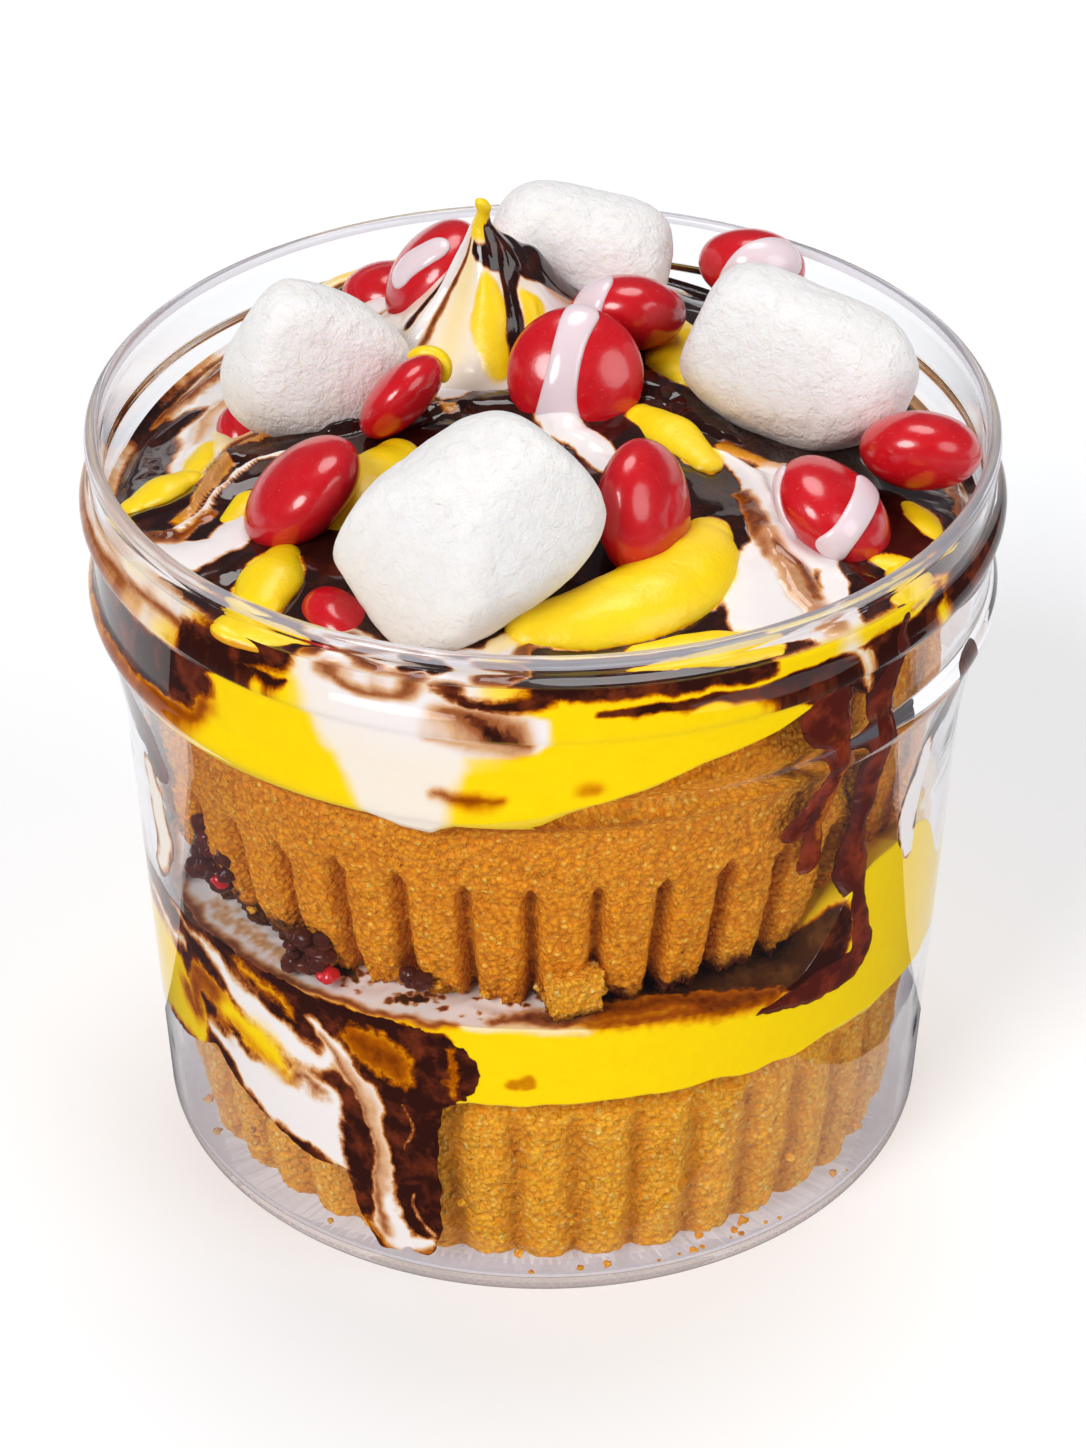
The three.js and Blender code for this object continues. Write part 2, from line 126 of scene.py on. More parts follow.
def stages(along: Array, stops: Sequence[float]) -> list[Array]:
    """How far along each stretch between two stops the points are, from 0 to 1."""
    return [stretch(along, *ends) for ends in zip(stops, stops[1:])]


def unrolled(bearing: Array, height: Array, radius: float = WALL_RADIUS) -> Array:
    """Places on a round wall, as rows of length round it and height."""
    return stacked(np.radians(bearing) * radius, height)


def unit(rows: Array) -> Array:
    """The rows, each brought to a length of 1."""
    return rows / np.linalg.norm(rows, axis=-1, keepdims=True)


class Grain:
    """Smooth random field in space that is the same on every run."""

    def __init__(self, seed: int) -> None:
        """Draws the field's gradients.

        Args:
            seed: Seed of the draw.
        """
        source = np.random.default_rng(seed)
        self.shuffle = source.permutation(256)
        self.slopes = unit(source.normal(size=(256, 3)))

    def at(self, points: Array, size: float, octaves: int = 1) -> Array:
        """Field at some points.

        Args:
            points: Rows of x, y and z in millimetres.
            size: Width of the largest lumps in millimetres.
            octaves: How many layers of ever finer lumps are added.

        Returns:
            One number for each point, from about -1 to 1.
        """
        total = np.zeros(len(points))
        for octave in range(octaves):
            total += self._layer(points * (2**octave / size) + 17.3 * octave) * 0.5**octave
        return total

    def _layer(self, spots: Array) -> Array:
        """One layer of the field.

        Args:
            spots: Rows of x, y and z, where a lump is one unit wide.

        Returns:
            One number for each spot.
        """
        cell = np.floor(spots).astype(int)
        inside = spots - cell
        weight = inside**3 * (inside * (inside * 6 - 15) + 10)
        total = np.zeros(len(spots))
        for corner in itertools.product((0, 1), repeat=3):
            x, y, z = (cell + corner).T & 255
            slope = self.slopes[self.shuffle[(self.shuffle[(self.shuffle[x] + y) & 255] + z) & 255]]
            share = np.where(corner, weight, 1 - weight).prod(1)
            total += share * (slope * (inside - corner)).sum(1)
        return total * 1.8


# ---------- meshes


def select_only(piece: Piece) -> None:
    """Leaves one object selected and active.

    Args:
        piece: The object.
    """
    bpy.ops.object.select_all(action="DESELECT")
    piece.select_set(True)
    bpy.context.view_layer.objects.active = piece


def read_rows(items: object, kind: str) -> Array:
    """Where the items of a mesh are.

    Args:
        items: The mesh's vertices or polygons.
        kind: Name of the place that is read.

    Returns:
        Rows of x, y and z in millimetres.
    """
    flat = np.empty(len(items) * 3)
    items.foreach_get(kind, flat)
    return flat.reshape(-1, 3) / MM


def read_points(piece: Piece) -> Array:
    """The piece's points in millimetres, one row each."""
    return read_rows(piece.data.vertices, "co")


def face_centres(piece: Piece) -> Array:
    """The middles of the piece's faces in millimetres, one row each."""
    return read_rows(piece.data.polygons, "center")


def write_points(piece: Piece, points: Array) -> None:
    """Moves the piece's points to rows of x, y and z in millimetres."""
    piece.data.vertices.foreach_set("co", (np.asarray(points) * MM).ravel())
    piece.data.update()


def write_numbers(piece: Piece, **numbers: Array | float) -> None:
    """Keeps numbers for the points of a piece.

    Args:
        piece: The piece.
        **numbers: For each name a number for each point, or one number for them all.
    """
    for name, values in numbers.items():
        layer = piece.data.attributes.new(name, "FLOAT", "POINT")
        every = np.broadcast_to(values, len(piece.data.vertices))
        layer.data.foreach_set("value", np.array(every, dtype=np.float32))


def sheet(name: str, columns: int, rows: int, place: Rule) -> Piece:
    """Sheet of squares whose points are placed by a rule.

    Args:
        name: The piece's name.
        columns: Squares along the first direction.
        rows: Squares along the second direction.
        place: Gives rows of x, y, z in millimetres for the two directions' shares from 0 to 1.

    Returns:
        The new object, at the origin.
    """
    bpy.ops.object.select_all(action="DESELECT")
    bpy.ops.mesh.primitive_grid_add(x_subdivisions=columns, y_subdivisions=rows, size=1)
    piece = bpy.context.object
    piece.name = piece.data.name = name
    flat = read_points(piece) * MM + 0.5
    write_points(piece, place(flat[:, 0], flat[:, 1]))
    return piece


def drop_points(piece: Piece, dropped: Array) -> None:
    """Deletes some of a piece's points with the faces that need them.

    Args:
        piece: The piece.
        dropped: True for each point that goes.
    """
    select_only(piece)
    bpy.ops.object.mode_set(mode="EDIT")
    bpy.ops.mesh.select_mode(type="VERT")
    bpy.ops.mesh.select_all(action="DESELECT")
    bpy.ops.object.mode_set(mode="OBJECT")
    piece.data.vertices.foreach_set("select", dropped)
    bpy.ops.object.mode_set(mode="EDIT")
    bpy.ops.mesh.delete(type="VERT")
    bpy.ops.object.mode_set(mode="OBJECT")


def seal(piece: Piece) -> Piece:
    """Closes seams and poles by merging doubles, and turns the faces outwards.

    Args:
        piece: The piece.

    Returns:
        The same object, smoothly shaded.
    """
    select_only(piece)
    bpy.ops.object.mode_set(mode="EDIT")
    bpy.ops.mesh.select_all(action="SELECT")
    bpy.ops.mesh.remove_doubles(threshold=0.002 * MM)
    bpy.ops.mesh.normals_make_consistent(inside=False)
    bpy.ops.object.mode_set(mode="OBJECT")
    bpy.ops.object.shade_smooth()
    return piece


def close_below(piece: Piece, floor: float) -> Piece:
    """Turns an open surface into a body by drawing its edge down to a flat underside.

    Args:
        piece: Open surface with one edge.
        floor: Height of the underside in millimetres.

    Returns:
        The same object.
    """
    select_only(piece)
    count = len(piece.data.vertices)
    bpy.ops.object.mode_set(mode="EDIT")
    bpy.ops.mesh.select_mode(type="EDGE")
    bpy.ops.mesh.select_all(action="DESELECT")
    bpy.ops.mesh.select_non_manifold()
    bpy.ops.mesh.extrude_edges_move()
    bpy.ops.mesh.edge_face_add()
    bpy.ops.object.mode_set(mode="OBJECT")
    points = read_points(piece)
    points[count:, 2] = floor
    write_points(piece, points)
    return seal(piece)


def backed(piece: Piece, back: Array) -> Piece:
    """Turns an open sheet into a thin closed body.

    Args:
        piece: Open sheet.
        back: Where the back of each of its points goes, in millimetres.

    Returns:
        The same object.
    """
    select_only(piece)
    front = read_points(piece)
    shell = piece.modifiers.new("Back", "SOLIDIFY")
    shell.thickness = 0.1 * MM
    bpy.ops.object.modifier_apply(modifier=shell.name)
    write_points(piece, np.concatenate([front, back]))
    return seal(piece)


def curve(line: Sequence[Sequence[float]], per: int = 5) -> Array:
    """Rounds a line of points off by running a smooth curve through them.

    Args:
        line: Rows of numbers, one row for each point.
        per: Steps between one point and the next.

    Returns:
        Rows of the same numbers along the curve.
    """
    points = np.array(line, dtype=float)
    if len(points) < 3:
        return points
    padded = np.concatenate([[2 * points[0] - points[1]], points, [2 * points[-1] - points[-2]]])
    rows = []
    for a, b, c, d in zip(padded, padded[1:], padded[2:], padded[3:]):
        for t in np.arange(per) / per:
            level = 2 * b + (c - a) * t
            rows.append(0.5 * (level + (2 * a - 5 * b + 4 * c - d) * t**2 + (3 * b - a - 3 * c + d) * t**3))
    return np.array([*rows, points[-1]])


# ---------- finishes


class Recipe:
    """A material whose nodes are added one by one."""

    def __init__(self, name: str) -> None:
        """Starts a material from its plain shader.

        Args:
            name: The material's name.
        """
        self.material = bpy.data.materials.new(name)
        self.material.use_nodes = True
        self.tree = self.material.node_tree
        self.shader = self.tree.nodes["Principled BSDF"]
        self.place = self.add("TexCoord").outputs["Object"]

    def add(self, kind: str, inputs: dict | None = None, **settings: object) -> bpy.types.Node:
        """Adds a node.

        Args:
            kind: The node's type without its ShaderNode prefix.
            inputs: A value or another node's output for each input, by name or number.
            **settings: The node's own settings.

        Returns:
            The new node.
        """
        node = self.tree.nodes.new("ShaderNode" + kind)
        for key, value in settings.items():
            setattr(node, key, value)
        for key, value in (inputs or {}).items():
            self.feed(node.inputs[key], value)
        return node

    def feed(self, socket: bpy.types.NodeSocket, value: object) -> None:
        """Links an output to an input, or sets the input's own value.

        Args:
            socket: The input.
            value: An output or a plain value.
        """
        if isinstance(value, bpy.types.NodeSocket):
            self.tree.links.new(value, socket)
        else:
            socket.default_value = value

    def plain(self, **values: object) -> None:
        """Sets the shader's own inputs; a name's underscores stand for spaces."""
        for key, value in values.items():
            self.feed(self.shader.inputs[key.replace("_", " ")], value)

    def noise(self, size: float, detail: float = 2, roughness: float = 0.5, distortion: float = 0) -> object:
        """Noise in the piece's own space.

        Args:
            size: Width of its lumps in millimetres.
            detail: How many finer layers it has.
            roughness: How strong they are.
            distortion: How far the lumps are dragged about.

        Returns:
            The noise's output.
        """
        inputs = {"Vector": self.place, "Scale": 1 / (size * MM), "Detail": detail}
        inputs |= {"Roughness": roughness, "Distortion": distortion}
        return self.add("TexNoise", inputs).outputs["Fac"]

    def cells(self, size: float) -> bpy.types.Node:
        """Node of cells whose size is in millimetres."""
        return self.add("TexVoronoi", {"Vector": self.place, "Scale": 1 / (size * MM)})

    def value(self, name: str) -> object:
        """Output of a number kept at the piece's points."""
        return self.add("Attribute", attribute_name=name).outputs["Fac"]

    def math(self, operation: str, first: object, second: object = 0.0, third: object = 0.0) -> object:
        """One sum on numbers or outputs.

        Args:
            operation: The sum's kind.
            first: Its first term.
            second: Its second term, if it has one.
            third: Its third term, if it has one.

        Returns:
            The sum's output.
        """
        node = self.add("Math", operation=operation)
        for socket, value in zip(node.inputs, (first, second, third)):
            self.feed(socket, value)
        return node.outputs[0]

    def ramp(self, share: object, stops: Sequence[tuple[float, Triple]]) -> object:
        """Colour that runs through a row of stops.

        Args:
            share: Where along the row the colour is read.
            stops: A position and a colour each.

        Returns:
            The colour's output.
        """
        node = self.add("ValToRGB", {"Fac": share})
        elements = node.color_ramp.elements
        while len(elements) < len(stops):
            elements.new(0.5)
        for element, (position, color) in zip(elements, stops):
            element.position = position
            element.color = (*color, 1)
        return node.outputs["Color"]

    def mix(self, share: object, first: object, second: object, blend: str = "MIX") -> object:
        """Blend of two colours.

        Args:
            share: How much of the second colour shows.
            first: A colour or an output.
            second: A colour or an output.
            blend: The kind of blend.

        Returns:
            The colour's output.
        """
        node = self.add("Mix", data_type="RGBA", blend_type=blend)
        for index, value in ((0, share), (6, first), (7, second)):
            if isinstance(value, tuple):
                value = (*value, 1)
            self.feed(node.inputs[index], value)
        return node.outputs[2]

    def span(self, share: object, low: float, high: float) -> object:
        """Number output from low to high as the share goes from 0 to 1."""
        return self.add("MapRange", {"Value": share, "To Min": low, "To Max": high}).outputs["Result"]

    def band(self, value: object, start: float, end: float, most: float = 1.0, **settings: object) -> object:
        """Number output from 0 to the most as a value goes from start to end."""
        inputs = {"Value": value, "From Min": start, "From Max": end, "To Max": most}
        return self.add("MapRange", inputs, **settings).outputs["Result"]

    def soften(self, weight: float, depth: float, reach: Triple) -> None:
        """Lets light in under the surface, by a weight, a depth in millimetres and each colour's reach."""
        self.plain(Subsurface_Weight=weight, Subsurface_Scale=depth * MM, Subsurface_Radius=reach)

    def relief(self, layers: Iterable[tuple[object, float]]) -> None:
        """Roughens the surface.

        Args:
            layers: A height output and its depth in millimetres for each layer.
        """
        normal = None
        for height, depth in layers:
            inputs = {"Height": height, "Distance": depth * MM, "Strength": 1.0}
            if normal is not None:
                inputs["Normal"] = normal
            normal = self.add("Bump", inputs).outputs["Normal"]
        self.feed(self.shader.inputs["Normal"], normal)


@dataclass(frozen=True)
class ClearPlastic:
    """Clear moulded plastic, tinted violet-grey towards its edges, partly for the depth of the plastic and
    partly as painted shade of darker surroundings seen through them, with a painted shadow of the contents on
    its floor.
    """

    name: str = "clear_plastic"
    tint: Triple = (0.985, 0.985, 0.99)
    # Edge colour: partly the depth of thick plastic, partly painted shade of darker surroundings seen through
    # the edges.
    edge_depth_and_shade: Triple = (0.60, 0.59, 0.69)
    # Painted shadow of the contents on the jar's floor.
    foot_shadow: Triple = (0.56, 0.55, 0.62)
    index: float = 1.45

    def build(self) -> bpy.types.Material:
        """Makes the material.

        Returns:
            The new material.
        """
        recipe = Recipe(self.name)
        # Violet-grey towards grazing edges: partly the depth of thick plastic, partly painted shade of darker
        # surroundings seen through the edges.
        facing = recipe.add("LayerWeight", {"Blend": 0.5}).outputs["Facing"]
        depth = recipe.math("POWER", facing, 3.2)
        # Painted shadow of the contents: the plastic is darkened grey-violet from 3.2 mm down to 1 mm and
        # below.
        height = recipe.add("SeparateXYZ", {0: recipe.place}).outputs["Z"]
        body = recipe.mix(recipe.band(height, 3.2 * MM, 1.0 * MM), self.tint, self.foot_shadow)
        recipe.plain(Base_Color=recipe.mix(depth, body, self.edge_depth_and_shade), Roughness=0.01, IOR=self.index)
        recipe.plain(Transmission_Weight=1.0, Specular_Tint=(0.3, 0.3, 0.33, 1))
        recipe.relief([(recipe.noise(9, 1), 0.05)])
        return recipe.material


@dataclass(frozen=True)
class PaintedLipShade:
    """The same plastic on the lip, half opaque and painted grey: a painted shade that stands for darker
    surroundings seen through the thick lip.
    """

    name: str = "lip_painted_shade"
    shade: Triple = (0.66, 0.65, 0.72)

    def build(self) -> bpy.types.Material:
        """Makes the material.

        Returns:
            The new material.
        """
        recipe = Recipe(self.name)
        # Painted shade on the lip, a half-opaque grey broken up by noise.
        shade = recipe.mix(recipe.noise(14, 2), self.shade, (0.86, 0.86, 0.9))
        recipe.plain(Base_Color=shade, Roughness=0.04, IOR=1.45, Transmission_Weight=0.6)
        return recipe.material


@dataclass(frozen=True)
class Sponge:
    """Baked golden crumb, coarse and a little moist, with painted glints on its sugar, granule tops lightened
    partly as painted light, and painted shade in its crevices and flute grooves.
    """

    name: str = "sponge"
    crust: Triple = (1.0, 0.39, 0.010)
    crumb: Triple = (1.0, 0.50, 0.030)
    # The groove colour is painted shade for the crevices and flute grooves.
    groove: Triple = (0.62, 0.19, 0.006)
    # Painted glint colour.
    glint_colour: Triple = (1.0, 0.78, 0.26)

    def build(self) -> bpy.types.Material:
        """Makes the material; it reads its piece's numbers for painted shade in hollows, for soak and for
        crumb.

        Returns:
            The new material.
        """
        recipe = Recipe(self.name)
        grains = recipe.cells(0.66)
        fine = recipe.noise(0.34, 3, 0.6)
        round_top = recipe.math("SUBTRACT", 1.0, grains.outputs["Distance"])
        luck = recipe.add("SeparateColor", {"Color": grains.outputs["Color"]}).outputs["Red"]
        patches = recipe.noise(5, 3, 0.6)
        # Granule tops lighter: random patches of tone, and partly painted light on the tops.
        pale = recipe.math("MULTIPLY_ADD", patches, 0.6, recipe.span(round_top, -0.75, 0.95))
        tone = recipe.mix(pale, self.crust, self.crumb)
        # Painted shade in the crevices between granules and in the low spots of the crumb.
        between = recipe.band(round_top, 0.62, 0.3)
        relief = recipe.math("MULTIPLY_ADD", recipe.math("SUBTRACT", fine, 0.5), 0.7, recipe.value("crumb"))
        dark = recipe.math("MAXIMUM", recipe.math("MULTIPLY", between, 0.7), recipe.band(relief, 0.30, 0.0))
        crevice_shaded = recipe.mix(recipe.math("MULTIPLY", dark, 0.42), tone, self.groove)
        # Painted glints on random granule tops and along thin curls.
        lucky = recipe.math("MULTIPLY", recipe.band(luck, 0.80, 0.95), recipe.band(round_top, 0.55, 0.8))
        bend = recipe.math("ABSOLUTE", recipe.math("SUBTRACT", recipe.noise(1.0, 2, 0.5, 1.2), 0.5))
        curl_glints = recipe.math("MULTIPLY", recipe.band(bend, 0.03, 0.0, 0.5), recipe.span(patches, 0.0, 1.4))
        glints = recipe.math("MAXIMUM", recipe.math("MULTIPLY", lucky, 0.9), curl_glints)
        glinting = recipe.mix(glints, crevice_shaded, self.glint_colour)
        # Painted shade in the flute grooves and small hollows.
        hollowed = recipe.mix(recipe.value("hollow"), glinting, self.groove)
        soaked = recipe.mix(recipe.value("soak"), hollowed, (0.13, 0.032, 0.010))
        recipe.plain(Base_Color=soaked, Roughness=recipe.span(recipe.value("soak"), 0.5, 0.1))
        recipe.plain(Specular_IOR_Level=0.12)
        recipe.soften(0.12, 0.8, (1.0, 0.35, 0.08))
        recipe.relief([(round_top, 0.6), (fine, 0.3)])
        return recipe.material


BROWNING = (
    (0.0, (1, 1, 1)),
    (0.3, (0.80, 0.50, 0.27)),
    (0.62, (0.42, 0.14, 0.045)),
    (1.0, (0.14, 0.03, 0.012)),
)


@dataclass(frozen=True)
class SauceBlend:
    """Custard, milk and chocolate sauce that run into one another on one surface."""

    name: str = "sauces"
    custard: Triple = (0.985, 0.71, 0.004)
    deep_custard: Triple = (0.95, 0.57, 0.002)
    milk: Triple = (0.88, 0.82, 0.80)
    chocolate: Triple = (0.020, 0.0055, 0.004)
    thin_chocolate: Triple = (0.075, 0.014, 0.006)
    custard_roughness: float = 0.38
    sauce_roughness: float = 0.08
    gloss: float = 0.5
    feather: float = 2.2

    def build(self) -> bpy.types.Material:
        """Makes the material; it reads the milk, chocolate and stain numbers of its piece.

        Returns:
            The new material.
        """
        recipe = Recipe(self.name)
        streaks = recipe.noise(2.6, 4, 0.6, 0.8)
        yellow = recipe.mix(recipe.span(streaks, 0.0, 0.6), self.custard, self.deep_custard)
        milk = recipe.value("milk")
        chocolate = recipe.value("chocolate")
        wander = recipe.math("SUBTRACT", recipe.noise(0.9, 4, 0.65, 0.6), 0.5)
        open_share = recipe.math("SUBTRACT", 1.0, chocolate)
        sway = recipe.math("MULTIPLY", recipe.math("MULTIPLY", chocolate, open_share), self.feather)
        cover = recipe.math("MULTIPLY_ADD", wander, sway, chocolate)
        dark_share = recipe.band(cover, 0.42, 0.72, interpolation_type="SMOOTHSTEP")
        stain = recipe.math("MAXIMUM", recipe.value("stain"), recipe.band(cover, 0.02, 0.5, 0.85))
        brown = recipe.math("MULTIPLY_ADD", recipe.math("MULTIPLY", wander, stain), 0.7, stain)
        milky = recipe.mix(milk, yellow, self.milk)
        stained = recipe.mix(1.0, milky, recipe.ramp(brown, BROWNING), "MULTIPLY")
        thin = recipe.band(recipe.noise(3.4, 4, 0.65), 0.48, 0.72)
        color = recipe.mix(dark_share, stained, recipe.mix(thin, self.chocolate, self.thin_chocolate))
        wet = recipe.math("MAXIMUM", milk, recipe.math("MAXIMUM", dark_share, stain))
        roughness = recipe.span(wet, self.custard_roughness, self.sauce_roughness)
        recipe.plain(Base_Color=color, Roughness=roughness)
        recipe.plain(Specular_IOR_Level=self.gloss)
        recipe.soften(0.15, 0.7, (1.0, 0.6, 0.2))
        ripple = recipe.math("MULTIPLY", recipe.noise(0.9, 3, 0.55), recipe.math("SUBTRACT", 1.0, wet))
        recipe.relief([(ripple, 0.09)])
        return recipe.material


PRESSED = SauceBlend(
    name="sauces_against_plastic",
    chocolate=(0.030, 0.0065, 0.004),
    thin_chocolate=(0.20, 0.034, 0.010),
    gloss=0.0,
    feather=3.4,
)
DRIPPING = SauceBlend(
    name="dripping_chocolate",
    chocolate=(0.085, 0.0085, 0.003),
    thin_chocolate=(0.30, 0.040, 0.010),
    sauce_roughness=0.10,
    gloss=0.3,
)
POOLED = SauceBlend(
    name="pooled_sauces",
    chocolate=(0.050, 0.017, 0.006),
    thin_chocolate=(0.16, 0.060, 0.014),
    sauce_roughness=0.06,
)
BEADED = SauceBlend(
    name="wet_beads",
    chocolate=(0.07, 0.016, 0.010),
    thin_chocolate=(0.20, 0.035, 0.02),
    gloss=0.2,
)
GLAZE = SauceBlend(name="milk_over_red", milk=(0.82, 0.67, 0.71), sauce_roughness=0.14)


@dataclass(frozen=True)
class Foam:
    """Soft white sugar foam with a powdery skin, stained where it touches sauce, with painted shade and warm
    bounce light on its lower side.
    """

    name: str = "marshmallow"
    skin: Triple = (0.91, 0.89, 0.88)
    # Painted shade and warm bounce light for the lower side.
    underside_shade: Triple = (0.86, 0.76, 0.64)
    stain: Triple = (0.36, 0.13, 0.04)

    def build(self) -> bpy.types.Material:
        """Makes the material; it reads the low and touch numbers of its piece.

        Returns:
            The new material.
        """
        recipe = Recipe(self.name)
        pale = recipe.mix(recipe.noise(6, 2), self.skin, (0.89, 0.86, 0.835))
        # Painted shade and warm bounce light on the lower side, from the low number.
        underside_shaded = recipe.mix(recipe.value("low"), pale, self.underside_shade)
        mottle = recipe.math("MULTIPLY", recipe.value("touch"), recipe.noise(1.8, 3, 0.7))
        color = recipe.mix(mottle, underside_shaded, self.stain)
        recipe.plain(Base_Color=color, Roughness=0.8, Specular_IOR_Level=0.2)
        recipe.plain(Sheen_Weight=0.1, Sheen_Roughness=0.5)
        recipe.soften(0.4, 1.6, (1.0, 0.8, 0.6))
        recipe.relief([(recipe.noise(1.5, 5, 0.6, 0.6), 0.5), (recipe.noise(0.4, 3, 0.6), 0.18)])
        return recipe.material


@dataclass(frozen=True)
class SugarShell:
    """Polished red sugar shell."""

    name: str = "sugar_shell"
    red: Triple = (0.56, 0.004, 0.010)

    def build(self) -> bpy.types.Material:
        """Makes the material.

        Returns:
            The new material.
        """
        recipe = Recipe(self.name)
        blotches = recipe.span(recipe.noise(2.4, 4, 0.7), -0.6, 1.4)
        mottle = recipe.mix(blotches, self.red, (0.66, 0.016, 0.024))
        specks = recipe.math("MULTIPLY", recipe.band(recipe.noise(0.5, 3, 0.75), 0.64, 0.74), 0.35)
        color = recipe.mix(specks, mottle, (0.9, 0.26, 0.22))
        recipe.plain(Base_Color=color, Roughness=0.22, Coat_Weight=0.3, Coat_Roughness=0.05)
        recipe.relief([(recipe.noise(1.2, 3), 0.04)])
        return recipe.material


@dataclass(frozen=True)
class Tabletop:
    """Plain pale floor."""

    name: str = "tabletop"
    shade: Triple = (0.60, 0.605, 0.61)

    def build(self) -> bpy.types.Material:
        """Makes the material.

        Returns:
            The new material.
        """
        recipe = Recipe(self.name)
        recipe.plain(Base_Color=(*self.shade, 1), Roughness=0.6, Specular_IOR_Level=0.1)
        recipe.plain(Emission_Color=(0.97, 0.98, 1, 1), Emission_Strength=0.41)
        return recipe.material


class Larder:
    """Makes each finish once and hands it to the pieces that wear it."""

    def __init__(self) -> None:
        """Starts with no material made."""
        self.made: dict[object, bpy.types.Material] = {}

    def take(self, finish: object) -> bpy.types.Material:
        """The material of a finish, made when it is first asked for.

        Args:
            finish: The finish.

        Returns:
            Its material.
        """
        if finish not in self.made:
            self.made[finish] = finish.build()
        return self.made[finish]

    def coat(self, piece: Piece, finish: object) -> None:
        """Gives a piece one finish as its only material."""
        piece.data.materials.clear()
        piece.data.materials.append(self.take(finish))

    def coat_some(self, piece: Piece, finish: object, faces: Array) -> None:
        """Gives a coated piece another finish on the faces that are marked True."""
        piece.data.materials.append(self.take(finish))
        piece.data.polygons.foreach_set("material_index", faces.astype(np.int32))


LARDER = Larder()


def serve(piece: Piece, slot: str, finish: object, *nodes: str) -> Piece:
    """Dresses a finished piece, hangs it under the root body and hides the solids that it replaces.

    Args:
        piece: The finished object.
        slot: Not used.
        finish: The finish that it wears.
        *nodes: The solids that it replaces.

    Returns:
        The same object.
    """
    LARDER.coat(piece, finish)
    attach(piece, "root")
    if nodes:
        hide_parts(*nodes)
    log.info("%s: %d faces", piece.name, len(piece.data.polygons))
    return piece


# ---------- jar


@dataclass
class Jar:
    """Clear jar: tapered body, flared shoulder and straight neck with two raised rings."""

    height: float = 77.3
    wall: float = 1.25
    floor: float = 1.6
    foot_radius: float = 38.45
    foot_corner: float = 2.2
    shoulder_start: float = 44.8
    shoulder_radius: float = 41.0
    shoulder_curve: float = 1.8
    neck_start: float = 59.0
    neck_radius: float = 43.4
    bore: float = 42.3
    lip_radius: float = 43.7
    press: float = 0.05
    inner_corner: float = 1.2
    rings: tuple[Triple, ...] = ((60.6, 44.1, 1.5), (69.9, 44.5, 1.6))
    columns: int = 240

    def outer(self, height: Array) -> Array:
        """Outer radius of the body, shoulder and neck.

        Args:
            height: Heights in millimetres.

        Returns:
            The radius at each height.
        """
        body = self.foot_radius + (self.shoulder_radius - self.foot_radius) * height / self.shoulder_start
        climb = stretch(height, self.shoulder_start, self.neck_start)
        flare = self.shoulder_radius + (self.neck_radius - self.shoulder_radius) * climb**self.shoulder_curve
        return np.where(height <= self.shoulder_start, body, flare)

    def inner(self, height: Array) -> Array:
        """Inner radius at some heights."""
        return np.minimum(self.outer(height) - self.wall, self.bore)

    def touch(self, height: Array) -> Array:
        """Radius of what presses against the wall, reaching just into it."""
        return self.inner(height) + self.press

    def profile(self) -> Array:
        """Outline of the wall from the axis below, up the outside and down the inside.

        Returns:
            Rows of radius and height.
        """
        heel = self.corner(float(self.outer(np.array(self.foot_corner))), 0, self.foot_corner, 9)
        up = np.linspace(self.foot_corner + 0.5, self.height - 1.8, 150)
        outside = stacked(self.outer(up), up)
        for height, radius, half in self.rings:
            bulge = np.clip(1 - ((up - height) / half) ** 2, 0, 1) ** 0.75
            swollen = self.neck_radius + (radius - self.neck_radius) * bulge
            outside[:, 0] = np.where(bulge > 0, swollen, outside[:, 0])
        over = ((-0.15, -1.5), (0, -1.0), (-0.05, -0.45), (-0.3, -0.1), (-0.6, 0))
        under = ((0.4, -0.04), (0.1, -0.3), (0, -0.8))
        lip = [(self.lip_radius + out, self.height + above) for out, above in over]
        lip += [(self.bore + out, self.height + above) for out, above in under]
        down = np.linspace(self.height - 1.6, self.floor + 1.4, 120)
        inside = stacked(self.inner(down), down)
        foot = float(self.inner(np.array(self.floor + self.inner_corner)))
        fillet = self.corner(foot, self.floor, self.inner_corner, 7)[::-1]
        floor = [(30, self.floor), (0, self.floor)]
        return np.concatenate([[(0, 0), (30, 0)], heel, outside, lip, inside, fillet, floor])

    def corner(self, radius: float, floor: float, size: float, count: int) -> Array:
        """Quarter round from a floor up to a wall, as rows of radius and height."""
        bend = np.radians(np.linspace(0, 90, count))
        return stacked(radius - size * (1 - np.sin(bend)), floor + size * (1 - np.cos(bend)))

    def build(self) -> None:
        """Makes the jar and dresses it."""
        profile = self.profile()
        steps = np.linspace(0, 1, len(profile))

        def place(turn: Array, along: Array) -> Array:
            """Rule for the wall's surface, all round."""
            return around(360 * turn, *follow(along, steps, profile))

        piece = seal(sheet("clear_jar", self.columns, len(profile) - 1, place))
        piece.visible_shadow = piece.visible_diffuse = False
        serve(piece, "clear_plastic", ClearPlastic(), "jar")
        # The lip's top faces wear the painted grey shade.
        LARDER.coat_some(piece, PaintedLipShade(), face_centres(piece)[:, 2] > self.height - 0.75)


JAR = Jar()


def press(piece: Piece) -> None:
    """Takes the gloss off the faces that lie flat against the jar's wall.

    Args:
        piece: A dressed piece.
    """
    centres = face_centres(piece)
    flush = np.hypot(centres[:, 0], centres[:, 1]) > JAR.touch(centres[:, 2]) - 0.06
    LARDER.coat_some(piece, PRESSED, flush)


# ---------- cakes


